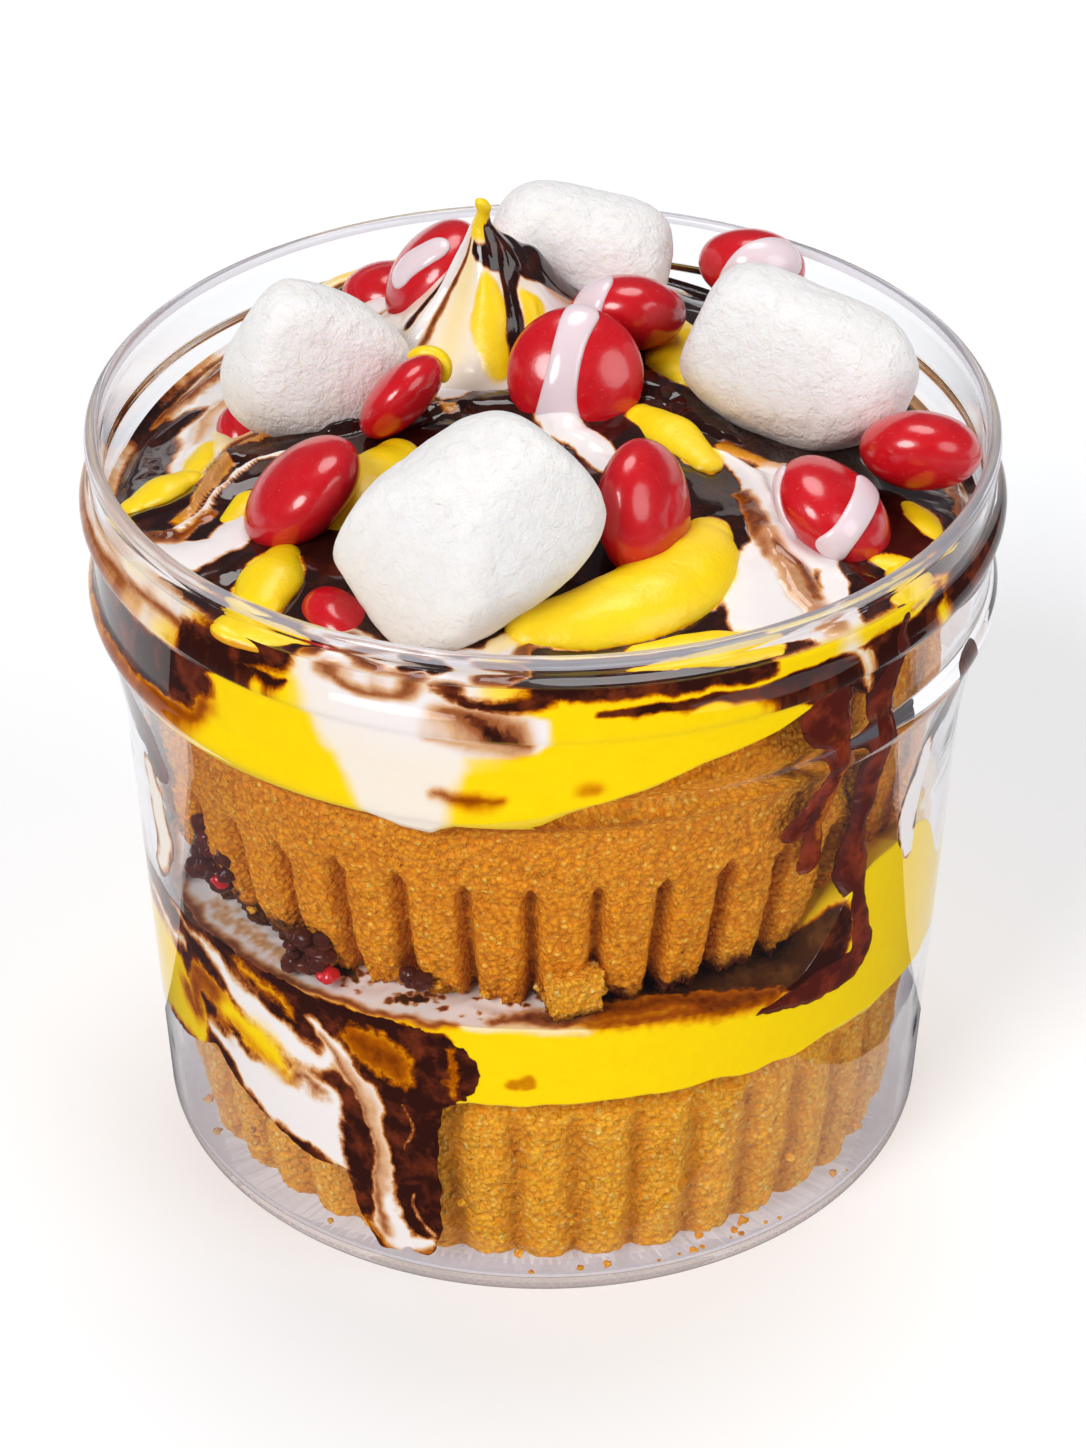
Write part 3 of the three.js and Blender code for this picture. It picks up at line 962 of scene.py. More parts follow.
@dataclass
class FlutedCake:
    """Sponge baked in a fluted case; the profile is radius and height from below to above."""

    name: str
    node: str
    seed: int
    profile: tuple[tuple[float, float], ...]
    valley: float
    depth: float
    width: float
    groove_top: float
    shift: float = 0.0
    foot: float = 0.0
    rim_rise: dict[float, float] = field(default_factory=dict)
    rise_from: float = 50.0
    soaked: tuple[Triple, ...] = ()
    flutes: int = 39
    finish: Sponge = Sponge()
    flat_radius: float = 33.0
    arch_height: float = 1.8
    crumb_depth: float = 0.26
    foot_crumb: float = 0.45
    columns: int = 936
    rows: int = 106

    def place(self, turn: Array, along: Array) -> Array:
        """Rule for the cake's surface; it also keeps for each point its painted shade in the flute grooves,
        how soaked and how rough it is.

        Args:
            turn: Share of a turn, from 0 to 1.
            along: Share of the way up the profile.

        Returns:
            Rows of x, y and z in millimetres.
        """
        grain = Grain(self.seed)
        profile = np.array(self.profile)
        flat = profile[1:, 0] + profile[:-1, 0] < 2 * self.flat_radius
        lengths = np.hypot(*np.diff(profile, axis=0).T) * np.where(flat, 0.06, 1.0)
        steps = np.concatenate([[0], np.cumsum(lengths)])
        radius, height = follow(along, steps / steps[-1], profile)
        bearing = crowded(turn)
        rib = (bearing - self.valley) * self.flutes / 360
        number = np.floor(rib + 0.5)
        aside = np.abs(rib - number) * 2
        uneven = grain.at(stacked(number % self.flutes * 3.1, 0, 0), 1.7)
        top = self.groove_top + 0.8 * uneven
        arch = np.clip((top - height) / self.arch_height, 0, 1) ** 0.5
        groove = np.exp(-((aside / (self.width * np.maximum(arch, 0.02))) ** 2)) * arch
        crowned = 0.12 * (1 - aside) ** 2 * arch
        outward = smooth(self.flat_radius - 3, self.flat_radius, radius)
        low = smooth(self.groove_top, self.profile[3][1], height)
        radius = radius - outward * (groove * self.depth * (0.8 + 0.35 * low) + crowned)
        if self.foot:
            near = smooth(self.foot + 5, self.foot, height) * outward
            ragged = grain.at(stacked((number + 7) * 2.7, 0, 0), 1.3)
            height = height + near * (1.3 * ragged - 0.1)
        if self.rim_rise:
            lift = circular(self.rim_rise, bearing) * smooth(self.rise_from, self.rise_from + 6, height)
            height = height + lift
            radius = radius - 0.10 * lift * outward
        points = around(bearing, radius, height)
        pores = 0.55 - 2 * np.abs(grain.at(points, 1.05))
        crumb = 0.6 * grain.at(points, 1.5) + 0.75 * pores + 0.5 * grain.at(points, 0.55)
        foot_depth = self.foot_crumb * smooth(self.foot + 4.5, self.foot, height) if self.foot else 0
        rough = self.crumb_depth + foot_depth
        radius = radius + (rough * crumb + 0.3 * grain.at(points, 6)) * outward
        height = height + (rough - self.crumb_depth) * grain.at(points + 40, 1.1, 2) * 2 * outward
        self.crumb = np.clip(0.5 + 0.42 * crumb, 0, 1)
        # Painted shade in the flute grooves, deepest in each groove and broken up by noise.
        self.hollow = np.clip(groove * 0.9 * outward - 0.3 * grain.at(points, 2.5), 0, 1) * 0.75
        self.soak = self.soaking(bearing, height, 1.2 * grain.at(points, 2.2, 2))
        return around(bearing, radius, height) + (self.shift, 0, 0)

    def soaking(self, bearing: Array, height: Array, wander: Array) -> Array:
        """How far sauce has soaked into the foot.

        Args:
            bearing: Bearing of each point.
            height: Height of each point.
            wander: How far above its level the sauce stands at each point.

        Returns:
            A share from 0 to 1 for each point.
        """
        signed = (bearing + 180) % 360 - 180
        soak = np.zeros_like(height)
        for start, end, level in self.soaked:
            spread = smooth(start - 3, start + 3, signed) * (1 - smooth(end - 3, end + 3, signed))
            edge = level + wander
            soak = np.maximum(soak, spread * (1 - smooth(edge - 0.8, edge + 0.5, height)))
        return soak

    def build(self) -> None:
        """Makes the cake and dresses it."""
        piece = sheet(self.name, self.columns, self.rows, self.place)
        write_numbers(piece, hollow=self.hollow, soak=self.soak, crumb=self.crumb)
        serve(seal(piece), "sponge", self.finish, self.node)


def lower_cake() -> FlutedCake:
    """The cake on the jar's floor, with soft shallow flutes.

    Returns:
        The cake, ready to build.
    """
    profile = ((0, 2.0), (31, 2.0), (34.0, 2.0), (34.9, 2.7), (35.3, 4.0), (36.2, 9.5), (36.9, 19.5))
    return FlutedCake(
        name="lower_sponge",
        node="lower_cake",
        seed=3,
        profile=(*profile, (36.6, 21.2), (35.4, 22.2), (30, 22.2), (0, 22.2)),
        valley=5.1,
        depth=0.85,
        width=0.42,
        groove_top=21.5,
    )


def upper_cake() -> FlutedCake:
    """The cake in the middle of the jar, its ribs ending under a smooth baked rim.

    Returns:
        The cake, ready to build.
    """
    below = ((0, 33.4), (29, 33.3), (33.0, 33.1), (34.4, 33.5), (35.2, 34.6), (36.6, 37.8), (37.8, 42.0))
    above = ((38.5, 46.0), (38.8, 48.4), (39.25, 50.2), (39.5, 53.0), (39.4, 55.6), (38.6, 57.2))
    return FlutedCake(
        name="upper_sponge",
        node="upper_cake",
        seed=8,
        profile=(*below, *above, (36.8, 58.2), (30, 58.5), (0, 58.5)),
        valley=-0.7,
        depth=2.1,
        width=0.26,
        groove_top=49.8,
        shift=-0.6,
        foot=33.0,
        rim_rise={-8: 0, 8: 2.4, 21: 4.2, 32: 5.4, 45: 6, 80: 6, 100: 3, 122: 0},
        soaked=((6, 62, 35.5), (-2, 6, 34.4), (-75, -38, 37.4)),
        finish=Sponge(
            name="baked_sponge",
            crust=(0.88, 0.275, 0.006),
            crumb=(1.0, 0.37, 0.008),
            # The groove colour is painted shade; the next colour is painted glints.
            groove=(0.46, 0.10, 0.002),
            glint_colour=(1.0, 0.66, 0.12),
        ),
    )


# ---------- sauces


class Sauce(Enum):
    """What a stroke lays down: its share of milk, if it changes that, of chocolate and of stain."""

    CUSTARD = (0.0, 0.0, 0.0)
    CREAM = (0.5, 0.0, 0.0)
    THIN_MILK = (0.84, 0.0, 0.0)
    MILK = (1.0, 0.0, 0.0)
    CARAMEL = (None, 0.0, 0.45)
    SYRUP = (None, 0.0, 0.9)
    CHOCOLATE = (None, 1.0, None)

    def __call__(
        self, *line: Sequence[float], rise: float = 0.3, soft: float = 0.3, ragged: float = 0.1
    ) -> "Stroke":
        """Lays the sauce down in one run, a stroke along the points of its line."""
        return Stroke(self, line, rise, soft, ragged)


CUSTARD, CREAM, THIN_MILK, MILK, CARAMEL, SYRUP, CHOCOLATE = Sauce


@dataclass(frozen=True)
class Stroke:
    """One run of sauce.

    A point of its line is two positions and half a width, in millimetres. The run stands up by its
    rise, its edge fades over the soft width, and the edge wanders by the ragged width.
    """

    sauce: Sauce
    line: tuple[Sequence[float], ...]
    rise: float
    soft: float
    ragged: float

    def distance(self, spots: Array) -> Array:
        """Distance from the stroke's edge, below 0 inside it.

        Args:
            spots: Rows of two positions.

        Returns:
            The distance of each spot.
        """
        line = curve(self.line)
        if len(line) == 1:
            return np.hypot(*(spots - line[0, :2]).T) - line[0, 2]
        nearest = np.full(len(spots), np.inf)
        for start, end in zip(line[:-1], line[1:]):
            leg = (end - start)[:2]
            share = np.clip((spots - start[:2]) @ leg / max(leg @ leg, 1e-9), 0, 1)
            gap = np.hypot(*(spots - start[:2] - share[:, None] * leg).T)
            nearest = np.minimum(nearest, gap - start[2] - share * (end[2] - start[2]))
        return nearest

    def around_jar(self, radius: float, blur: float = 1.0) -> "Stroke":
        """The same stroke with its bearings turned into lengths round a wall, and its edges blurred."""
        line = ((math.radians(bearing) * radius, height, half) for bearing, height, half in self.line)
        return Stroke(self.sauce, tuple(line), self.rise, self.soft * blur, self.ragged / blur)


class Paint:
    """Sauces laid one over another on the points of a surface."""

    def __init__(self, spots: Array, seed: int, warp: float = 0.5, size: float = 3.5) -> None:
        """Starts with bare custard.

        Args:
            spots: Rows of two positions in millimetres.
            seed: Seed of the sauces' wandering.
            warp: How far the sauces wander in millimetres.
            size: Width of their wandering in millimetres.
        """
        grain = Grain(seed)
        flat = np.column_stack([spots, np.zeros(len(spots))])
        self.spots = spots + warp * stacked(grain.at(flat, size, 3), grain.at(flat + 50, size, 3))
        self.ragged = grain.at(flat + 90, 0.9, 2)
        self.milk, self.chocolate, self.stain, self.rise = np.zeros((4, len(spots)))
        self.reach = np.full(len(spots), np.inf)

    def lay(self, strokes: Iterable[Stroke]) -> "Paint":
        """Lays strokes in order.

        Args:
            strokes: The strokes, each over the ones before.

        Returns:
            This paint.
        """
        for stroke in strokes:
            halves = [point[2] for point in stroke.line]
            margin = max(halves) + 2.5
            line = np.array(stroke.line)[:, :2]
            near = ((self.spots > line.min(0) - margin) & (self.spots < line.max(0) + margin)).all(1)
            level = stroke.distance(self.spots[near])
            gap = level + stroke.ragged * self.ragged[near]
            cover = 1 - smooth(-stroke.soft, stroke.soft, gap)
            for layer, share in zip((self.milk, self.chocolate, self.stain), stroke.sauce.value):
                if share is not None:
                    layer[near] += (share - layer[near]) * cover
            inside = np.clip(-level / (sum(halves) / len(halves)), 0, 1)
            self.rise[near] += stroke.rise * np.sin(inside * np.pi / 2)
            self.reach[near] = np.minimum(self.reach[near], gap)
        return self

    def lay_round(self, strokes: Iterable[Stroke], radius: float = WALL_RADIUS, blur: float = 1.0) -> "Paint":
        """Lays strokes given by bearing and height on a round wall."""
        return self.lay(stroke.around_jar(radius, blur) for stroke in strokes)

    def blend(self, other: "Paint", share: Array) -> "Paint":
        """Turns this paint into another one.

        Args:
            other: Paint of the same points on another surface.
            share: How much of the other paint each point shows.

        Returns:
            This paint.
        """
        for layer in ("milk", "chocolate", "stain"):
            values = getattr(self, layer)
            setattr(self, layer, values + (getattr(other, layer) - values) * share)
        return self

    def dry(self) -> Array:
        """How bare of milk and chocolate each point is."""
        return 1 - np.clip(self.milk + self.chocolate, 0, 1)

    def keep(self, piece: Piece) -> None:
        """Writes the shares of milk, chocolate and stain to the points of a piece."""
        write_numbers(piece, milk=self.milk, chocolate=self.chocolate, stain=self.stain)


# ---------- custard


TOP_STROKES = (
    CHOCOLATE((0, 0, 44), rise=0),
    # hidden and half-hidden ground
    CHOCOLATE((-22, 31, 4), (-14, 35, 3), (-4, 36, 3), (8, 34, 3), (18, 33, 3), soft=0.9),
    MILK((8, 37, 1.6), (14, 37, 1.2), soft=0.8),
    CARAMEL((4, 35, 1), (12, 35.5, 1), soft=0.8),
    MILK((-17, 27, 2.2), (-15, 31, 1.6), soft=0.8),
    MILK((-33.4, -3, 2.6), (-32.6, 3, 3.4), (-32, 9, 3.8), (-33, 15, 4.2), (-31, 22, 4.2), soft=0.9),
    CHOCOLATE((-40.5, 9.6, 2.2), (-39.6, 4, 2.2), (-38.6, 0, 2), (-37.6, -3, 1.2), rise=0.5, soft=0.9),
    CHOCOLATE((-37.8, 9.8, 1.7), (-34.8, 11.4, 1.4), rise=0.4, soft=1),
    SYRUP((-39, 14, 1.4), (-35.4, 16.6, 1.1), (-32.4, 19.4, 1.1), (-29, 25, 1.6), soft=1.4, ragged=0.5),
    CARAMEL((-33.8, 5.4, 0.6), (-31.8, 12, 0.7), soft=1.2),
    CHOCOLATE((-38.6, 19, 1.6), (-35, 24, 2), (-30, 29, 2), soft=1.2),
    # left ribbons
    CREAM((-31.3, 5.5, 0.7), (-30, 2.5, 1.4), (-26, 4.5, 1.6), soft=0.5),
    CHOCOLATE((-42, -10.4, 0.8), (-37, -9.9, 0.8), (-33.4, -8.4, 1), (-31.6, -4.4, 0.9), soft=0.2),
    SYRUP((-31.8, -6, 1), (-30, -1.4, 1.6), (-27, 1.6, 2), (-22, 1.6, 1.6), rise=0.6, soft=0.4),
    CREAM((-33.5, -12, 0.5), (-31.4, -6.5, 0.5), (-29.4, -1, 0.5), (-26.5, 2, 0.5), rise=0.5, soft=0.5),
    CARAMEL((-34, -13, 0.8), (-31.5, -7.2, 0.8), (-29.6, -2, 0.8), (-26.8, 1, 0.7), soft=0.6),
    CHOCOLATE((-28.6, -1.8, 1.1), (-26, -1, 1.9), (-22, 0, 2.2), (-19, 0.4, 1.6), rise=0.7),
    CHOCOLATE((-32, -13.2, 0.9), (-30, -9, 1.5), (-27.5, -6.2, 2.4), (-24, -4.5, 2.4), rise=0.5),
    MILK((-35, -15.5, 0.6), (-32.4, -13, 0.5), (-30.3, -8.4, 0.5), (-27.6, -4.1, 0.6), (-24, -3.2, 0.6),
         rise=0.5, soft=0.2),
    MILK((-40, -15, 2.6), (-35, -18.5, 2.6), (-30, -19, 2.4), (-28, -15, 2)),
    SYRUP((-38, -13.5, 0.7), (-35, -15.6, 0.9), (-33, -15.4, 0.5), (-31, -12.5, 0.4), soft=0.5),
    MILK((-38, -21, 2), (-35, -25, 2.2), (-32, -28, 2), soft=0.8),
    SYRUP((-39, -18.5, 0.9), (-34, -23.4, 0.8), (-31, -26.5, 0.6), soft=0.8),
    # dark pool below the left sweet, with a custard blob in it
    CHOCOLATE((-30.4, -23, 2), (-26, -21.5, 2.6), (-20.5, -21.5, 3.6), (-18, -27, 3.2), rise=0.4),
    CHOCOLATE((-30.6, -24, 1.8), (-30, -30, 2.4), (-25, -34.5, 2.6), (-20, -35.4, 2.2), rise=0.4),
    CHOCOLATE((-21.5, -16.5, 2.6), (-18, -18.5, 2.4), rise=0.2),
    # custard between the left sweet and the front marshmallow
    CHOCOLATE((-19.5, -2, 2), (-14, -2.5, 2), (-10, -1, 2), rise=0.2),
    # milk field at the foot of the peak
    MILK((-13, 13, 2), (-10, 9.5, 3.2), (-7.6, 6.6, 2.6), (-4, 6.4, 1.2), soft=0.4),
    CUSTARD((-11.2, 12.6, 1.5), (-10, 10.6, 0.8), rise=0.8, soft=0.4, ragged=0.6),
    CREAM((-9, 11, 1.4), (-8, 14.5, 1.6), (-7, 17, 1.4), soft=0.9),
    MILK((-13.2, 15.5, 0.9), (-10.4, 16.6, 1), (-8.2, 18, 0.9), (-6.8, 19, 0.8), rise=0.9),
    CHOCOLATE((-13.8, 17.2, 0.5), (-11, 18.4, 0.5), (-8.6, 19.6, 0.5)),
    SYRUP((-16, 3.6, 0.3), (-13.2, 4.4, 0.4), (-11, 5.6, 0.3)),
    # dark ribbon along the front of the peak
    CHOCOLATE((-20, 0.4, 1.6), (-15.4, 1.2, 1.7), (-12, 2.2, 1.6), (-10.2, 2.9, 0.9), rise=0.8),
    CHOCOLATE((-8, 3.2, 1), (-5, 3.4, 2.1), (-1.5, 2.6, 2.3), (2, 0, 2.4), rise=0.8, soft=0.5),
    CARAMEL((-10.2, 4, 0.5), (-9.2, 2.6, 0.8), soft=0.6),
    # yellow strips and dark runs on the front of the peak
    CUSTARD((-5.9, 16.6, 1), (-5.4, 13.5, 1.2), (-5, 10.5, 1), (-4.4, 7.4, 0.6), rise=0.5, soft=0.25),
    CUSTARD((-2.6, 15, 0.9), (-2.2, 12.6, 1.1), (-2.6, 9.6, 0.5), rise=0.4, soft=0.25),
    CHOCOLATE((-4.6, 17.4, 1), (-3.4, 14.6, 0.6), (-3.7, 11.6, 0.8), (-3.7, 9, 0.7), rise=0.7, soft=0.25),
    CHOCOLATE((-5.6, 18.2, 1), (-3.4, 17.4, 1.3), (-0.8, 17.6, 1.5), (2.4, 19.4, 1.5), (6, 22, 1.5),
              rise=0.8, soft=0.4),
    MILK((-0.4, 14.4, 0.8), (1.2, 15.6, 1.2), soft=0.5),
    CARAMEL((0.2, 16, 0.7), (2.6, 17.4, 0.8), soft=0.7),
    CHOCOLATE((-8, 24, 3), (-4, 23, 2), (0, 24, 3), soft=0.8),
    # round the middle sweets
    CHOCOLATE((3, -3, 2.4), (6.8, -3, 2.8), (9.2, 3, 2.2), (10.4, 7.4, 2.4), rise=0.5),
    CHOCOLATE((10, 7.6, 2.4), (13.4, 6, 2.4), (15.6, 2, 2), (17.4, -0.8, 1.4), (19, -2.2, 0.6), rise=1),
    MILK((0.6, 0.8, 1.8), (2.6, -2, 2.2), (4.6, -5, 1.8), (6.4, -8.6, 1.4), rise=0.4, soft=0.4,
         ragged=0.05),
    # right milk strand down to the front
    CHOCOLATE((12.6, -10, 2.4), (15, -12, 3.2), (14.4, -17, 2.8), (18, -16.5, 2.6)),
    MILK((14.6, -3.4, 0.5), (17.2, -5.4, 1), (19.4, -8.4, 1.4), (20.4, -13, 1.6), (21.4, -18, 2.2),
         rise=0.7),
    MILK((23, -8, 3), (22, -13, 2.2), (24.5, -20, 3), rise=0.4, soft=0.4),
    MILK((22, -20, 3), (20.5, -28, 4.4), (22, -33, 3.6), (27.5, -29, 3), (27, -22, 2), rise=0.5, soft=0.4),
    CARAMEL((17, -3.2, 1.1), (20, -4.8, 1), (22, -6, 0.6), soft=0.8),
    SYRUP((18.6, -12.4, 0.7), (20, -18, 0.8), (21, -21.6, 0.8), soft=0.5),
    CARAMEL((20.8, -19.6, 1), (22.6, -23.4, 1.5), (23.8, -27.2, 1.4), (26.4, -31.4, 1), rise=0.5, soft=0.7),
    SYRUP((21.4, -20.6, 0.35), (23.8, -23.6, 0.5), (25, -27, 0.35), soft=0.5),
    CHOCOLATE((28.2, -22, 1.3), (29.6, -25, 1.7), (30.6, -29, 2), rise=0.4),
    # right rim
    CHOCOLATE((38.5, -6, 3), (36, -13, 3.2), (33, -20, 3.4), (30.5, -18, 2.6)),
    MILK((40.5, -10, 1), (40.5, -3, 1.5), (39, 6, 2.4), (36, 15, 2.4), soft=0.8),
    SYRUP((39.6, -8, 0.6), (39.4, 0, 0.7), (38.6, 8, 1), (35, 17, 1.2), soft=0.8),
    CHOCOLATE((36, 12, 1.8), (33, 19, 2.2), (29, 25, 2), soft=0.8),
    # front pool, the swirls in it, and the marbled milk to their left
    CHOCOLATE((0, -40, 3.2), (7, -39, 3.2), (14, -38.5, 3), (20, -36.5, 2.4), (25, -34, 1.2), rise=0.2),
    MILK((-18, -35.5, 2.6), (-14, -37.5, 2.4), (-8, -38.5, 2.6), (-3, -38, 2.2), soft=0.5),
    CREAM((-4, -35.5, 1.4), (0, -34, 1.2), soft=0.5),
    SYRUP((-22, -36, 1.2), (-19, -34, 0.6), (-17, -34.6, 0.5), (-14.6, -38.6, 0.9), (-11, -39.4, 0.8),
          soft=0.6),
    CHOCOLATE((-11.6, -37.6, 0.9), (-9.4, -37.2, 1), (-9.6, -38.6, 0.6), soft=0.5),
    SYRUP((-4.6, -40, 1.4), (-2, -38.6, 1), (-0.8, -36, 0.6), (3, -35.6, 0.6), soft=0.6),
)

DOLLOP_LINES = (
    ((-38.6, -6.6, 1.9), (-36.6, -5.4, 2.9), (-34.4, -3.8, 2.1)),
    ((-34, -3.4, 1.2), (-33, 0, 1.6), (-32.4, 3.2, 1)),
    ((-27.6, -11.3, 1.8), (-29, -13.6, 1.2)),
    ((-24, -21.6, 2), (-24.8, -24.4, 3.2), (-25.8, -27.6, 2.6)),
    ((-27.8, -30.6, 2), (-25, -31.8, 2.1), (-22, -32.6, 1.3)),
    ((-14, -5.6, 2.4), (-15.8, -9, 3.4), (-17.4, -13.6, 2.9), (-18.8, -16.6, 1.6)),
    ((12.5, 24, 2.4), (13.6, 18.6, 3.4), (12.8, 13.4, 2.8), (14, 10.4, 1.8)),
    ((9.4, 1.8, 1.8), (11.8, -0.8, 2.8), (13.8, -4, 2.3), (15.4, -6.8, 1.6)),
    ((34.6, -9.6, 1.1), (35.8, -12.4, 1.7), (36.6, -15, 1)),
    ((31, -20.4, 1.1), (33.4, -21.4, 2), (32.4, -25, 1.5)),
    ((-1, -33.6, 2.6), (4, -32.4, 4), (8.6, -30, 4.6), (12.2, -26.4, 4.6), (14.4, -22.4, 3.8),
     (15.2, -19, 2.4)),
    ((8.4, -36.6, 1), (12.6, -36, 2), (16.6, -35.2, 2.1), (20.6, -34.4, 1)),
)

WALL_STROKES = (
    CHOCOLATE((-180, 65, 5.5), (-130, 65, 5), (-95, 64, 4.2), (-75, 63.4, 3.8), (-62, 63.6, 3.6),
              (-53, 64.4, 3.3), (-48.5, 65.4, 2.3), soft=0.8),
    CHOCOLATE((64, 70, 3), (90, 66, 4), (130, 66, 5), (180, 66, 5), soft=1),
    SYRUP((-90, 58, 1), (-72, 58.8, 1.2), (-60, 59.6, 1), (-50, 61, 0.9), (-46.4, 63.6, 0.9), soft=1),
    MILK((-104, 68.4, 1.5), (-80, 69, 1.8), (-66, 70.2, 1.9), (-57, 70.8, 2), (-50, 71.4, 1.4), soft=1),
    SYRUP((-96, 67, 0.6), (-78, 68.4, 0.5), (-66, 69.2, 0.8), (-58, 70.8, 0.5), (-50, 69.8, 0.9), soft=0.9),
    CARAMEL((-88, 70.2, 0.5), (-70, 71.4, 0.6), (-60, 69.2, 0.5), soft=0.9),
    CHOCOLATE((-49, 69.6, 1.5), (-44, 70.6, 1.7), (-38, 71.8, 1.6), (-33, 72.8, 1.2), soft=0.7),
    CHOCOLATE((-48, 67.6, 0.9), (-42, 68.8, 0.5), (-33, 69.9, 0.3), ragged=0.02),
    # the back
    MILK((98, 68.6, 1.2), (112, 67.6, 2), (126, 67, 2.4), (140, 68.4, 1.4), soft=1),
    SYRUP((100, 67, 0.5), (116, 66.4, 0.7), (132, 65.8, 0.6), (146, 67, 0.5), soft=0.9),
    CUSTARD((146, 60.6, 1.4), (158, 61.4, 2.8), (170, 61.6, 3.2), (182, 61.2, 2.6), soft=0.5),
    CUSTARD((-178, 61.2, 2.6), (-164, 60.8, 2.2), (-152, 60.6, 1.2), soft=0.5),
    MILK((-152, 70.4, 1.2), (-140, 68.6, 2.2), (-126, 66.8, 2.6), (-113, 65.6, 1.4), soft=1),
    SYRUP((-150, 68.4, 0.5), (-136, 66.8, 0.7), (-120, 65.2, 0.6), soft=0.9),
    # milk running down at the front left
    THIN_MILK((-19, 72.5, 8.6), (-19, 70, 7.6), (-18, 66, 6), (-17.4, 62, 4.6), (-16.4, 59.4, 3.2),
              (-16, 57.6, 2.2), soft=0.6),
    MILK((-22, 72, 5), (-16, 70.6, 3.6), (-8, 69.6, 2), soft=2.2),
    MILK((-10, 69, 2.4), (-5, 68.6, 2.2), (-1.2, 68.4, 1.6), soft=0.25, ragged=0.05),
    SYRUP((-12.6, 70.3, 0.5), (-8, 69.8, 0.9), (-4.4, 68.9, 1.2), (-2.6, 68, 0.8), soft=0.9),
    CHOCOLATE((-9, 70, 0.2), (-5.4, 69.3, 0.4), (-3.6, 68.5, 0.4), soft=0.5),
    CARAMEL((-14, 68.4, 0.3), (-8, 67.6, 0.5), (-3.4, 66.9, 0.5), soft=0.7),
    SYRUP((-13, 61.7, 0.3), (-9, 61.4, 0.5), (-5, 61.5, 0.3), soft=0.6),
    SYRUP((-27, 73, 0.5), (-23, 71.6, 0.4), (-18, 71.8, 0.5), (-15.6, 73.2, 0.6), soft=0.7),
    CHOCOLATE((-13, 73, 0.7), (-9, 71.9, 0.5), (-4, 71.6, 0.7), (0, 72.2, 0.8), soft=0.6),
    CARAMEL((4.6, 62.3, 0.5), (6.4, 62.6, 0.7), soft=0.5),
    # dark line that widens to the right
    CHOCOLATE((0, 72.8, 0.5), (14, 73, 0.6), (28, 72.6, 0.6), soft=0.4),
    CHOCOLATE((7, 70.3, 0.25), (12, 70.6, 0.5), (20, 70.6, 0.6), (28, 70, 0.8), (34, 69.6, 1.3),
              (38, 68.6, 2.6), (42, 67.6, 3.4), ragged=0.06),
    CHOCOLATE((41, 66, 2.8), (46, 69, 2.4), (52, 69.4, 1.4), (58, 70.6, 1), soft=0.5),
    THIN_MILK((40, 71.6, 0.7), (43.4, 69, 0.8), (44, 66, 0.5), soft=0.6),
)

RIM_HEIGHT = {
    -164: 72.5, -150: 71.8, -133: 69, -115: 67.9, -104: 67.1, -90: 68, -75: 71, -60: 72.3, 0: 73, 60: 72,
    75: 71, 95: 66.5, 113: 66.9, 121: 67.4, 155: 69, 180: 71.5,
}
BAND_FOOT = {
    -150: 59, -120: 58, -100: 57, -75: 56.6, -50: 57.3, -30: 57.4, -22: 57.8, -18: 56.7, -14: 56.5,
    -11: 58.2, 0: 58.7, 7: 59.6, 14: 61.5, 20: 63.3, 30: 65, 36: 66.6, 41: 66.5, 44: 64.5, 48: 66.5,
    60: 67, 80: 64, 110: 60, 150: 60,
}


@dataclass
class Dollop:
    """Plump smooth run of custard that lies on the crown."""

    number: int
    line: tuple[Triple, ...]
    plump: float = 0.62
    sunk: float = 0.25

    def build(self) -> None:
        """Makes the dollop and dresses it."""
        path = curve(self.line, 10)
        run = run_length(path[:, :2])
        ahead = unit(np.gradient(path[:, :2], axis=0))
        first, last = path[0, 2], path[-1, 2]
        grain = Grain(300 + self.number)

        def place(turn: Array, along: Array) -> Array:
            """Rule for the surface of the run.

            Args:
                turn: Share of a turn, from 0 to 1.
                along: Share of the way from end to end.

            Returns:
                Rows of x, y and z in millimetres.
            """
            way = -first + along * (run[-1] + first + last)
            inside = np.clip(way, 0, run[-1])
            beyond = (way - inside) / np.where(way < 0, first, last)
            x, y, half = follow(inside, run, path)
            half = half * np.sqrt(np.clip(1 - beyond**2, 0, 1))
            dx, dy = unit(follow(inside, run, ahead).T).T
            swing, lift = np.cos(2 * np.pi * turn) * half, np.sin(2 * np.pi * turn) * half
            x, y = x + dx * (way - inside) - dy * swing, y + dy * (way - inside) + dx * swing
            base = top_height(x, y) - self.sunk
            points = stacked(x, y, base + lift * np.where(lift > 0, self.plump, 0.35))
            points[:, 2] += 0.16 * grain.at(points, 3.2) * np.clip(half, 0, 1)
            low = np.clip(points[:, 2] - base, 0, None)
            self.stain = 0.3 * smooth(0.4, 0.05, low + 0.25 * grain.at(points, 1.2))
            return points

        piece = sheet(f"custard_dollop_{self.number:02d}", 72, 96, place)
        write_numbers(piece, stain=self.stain)
        serve(seal(piece), "custard", SauceBlend())


SUMMIT = 76.3
EDGE_RADIUS = 42.3


def top_height(x: Array, y: Array) -> Array:
    """Height of the custard's top under the sauces at places across the jar."""
    rim = circular(RIM_HEIGHT, bearing_of(x, y))
    return rim + (SUMMIT - rim) * (1 - np.clip(np.hypot(x, y) / EDGE_RADIUS, 0, 1) ** 2.2)


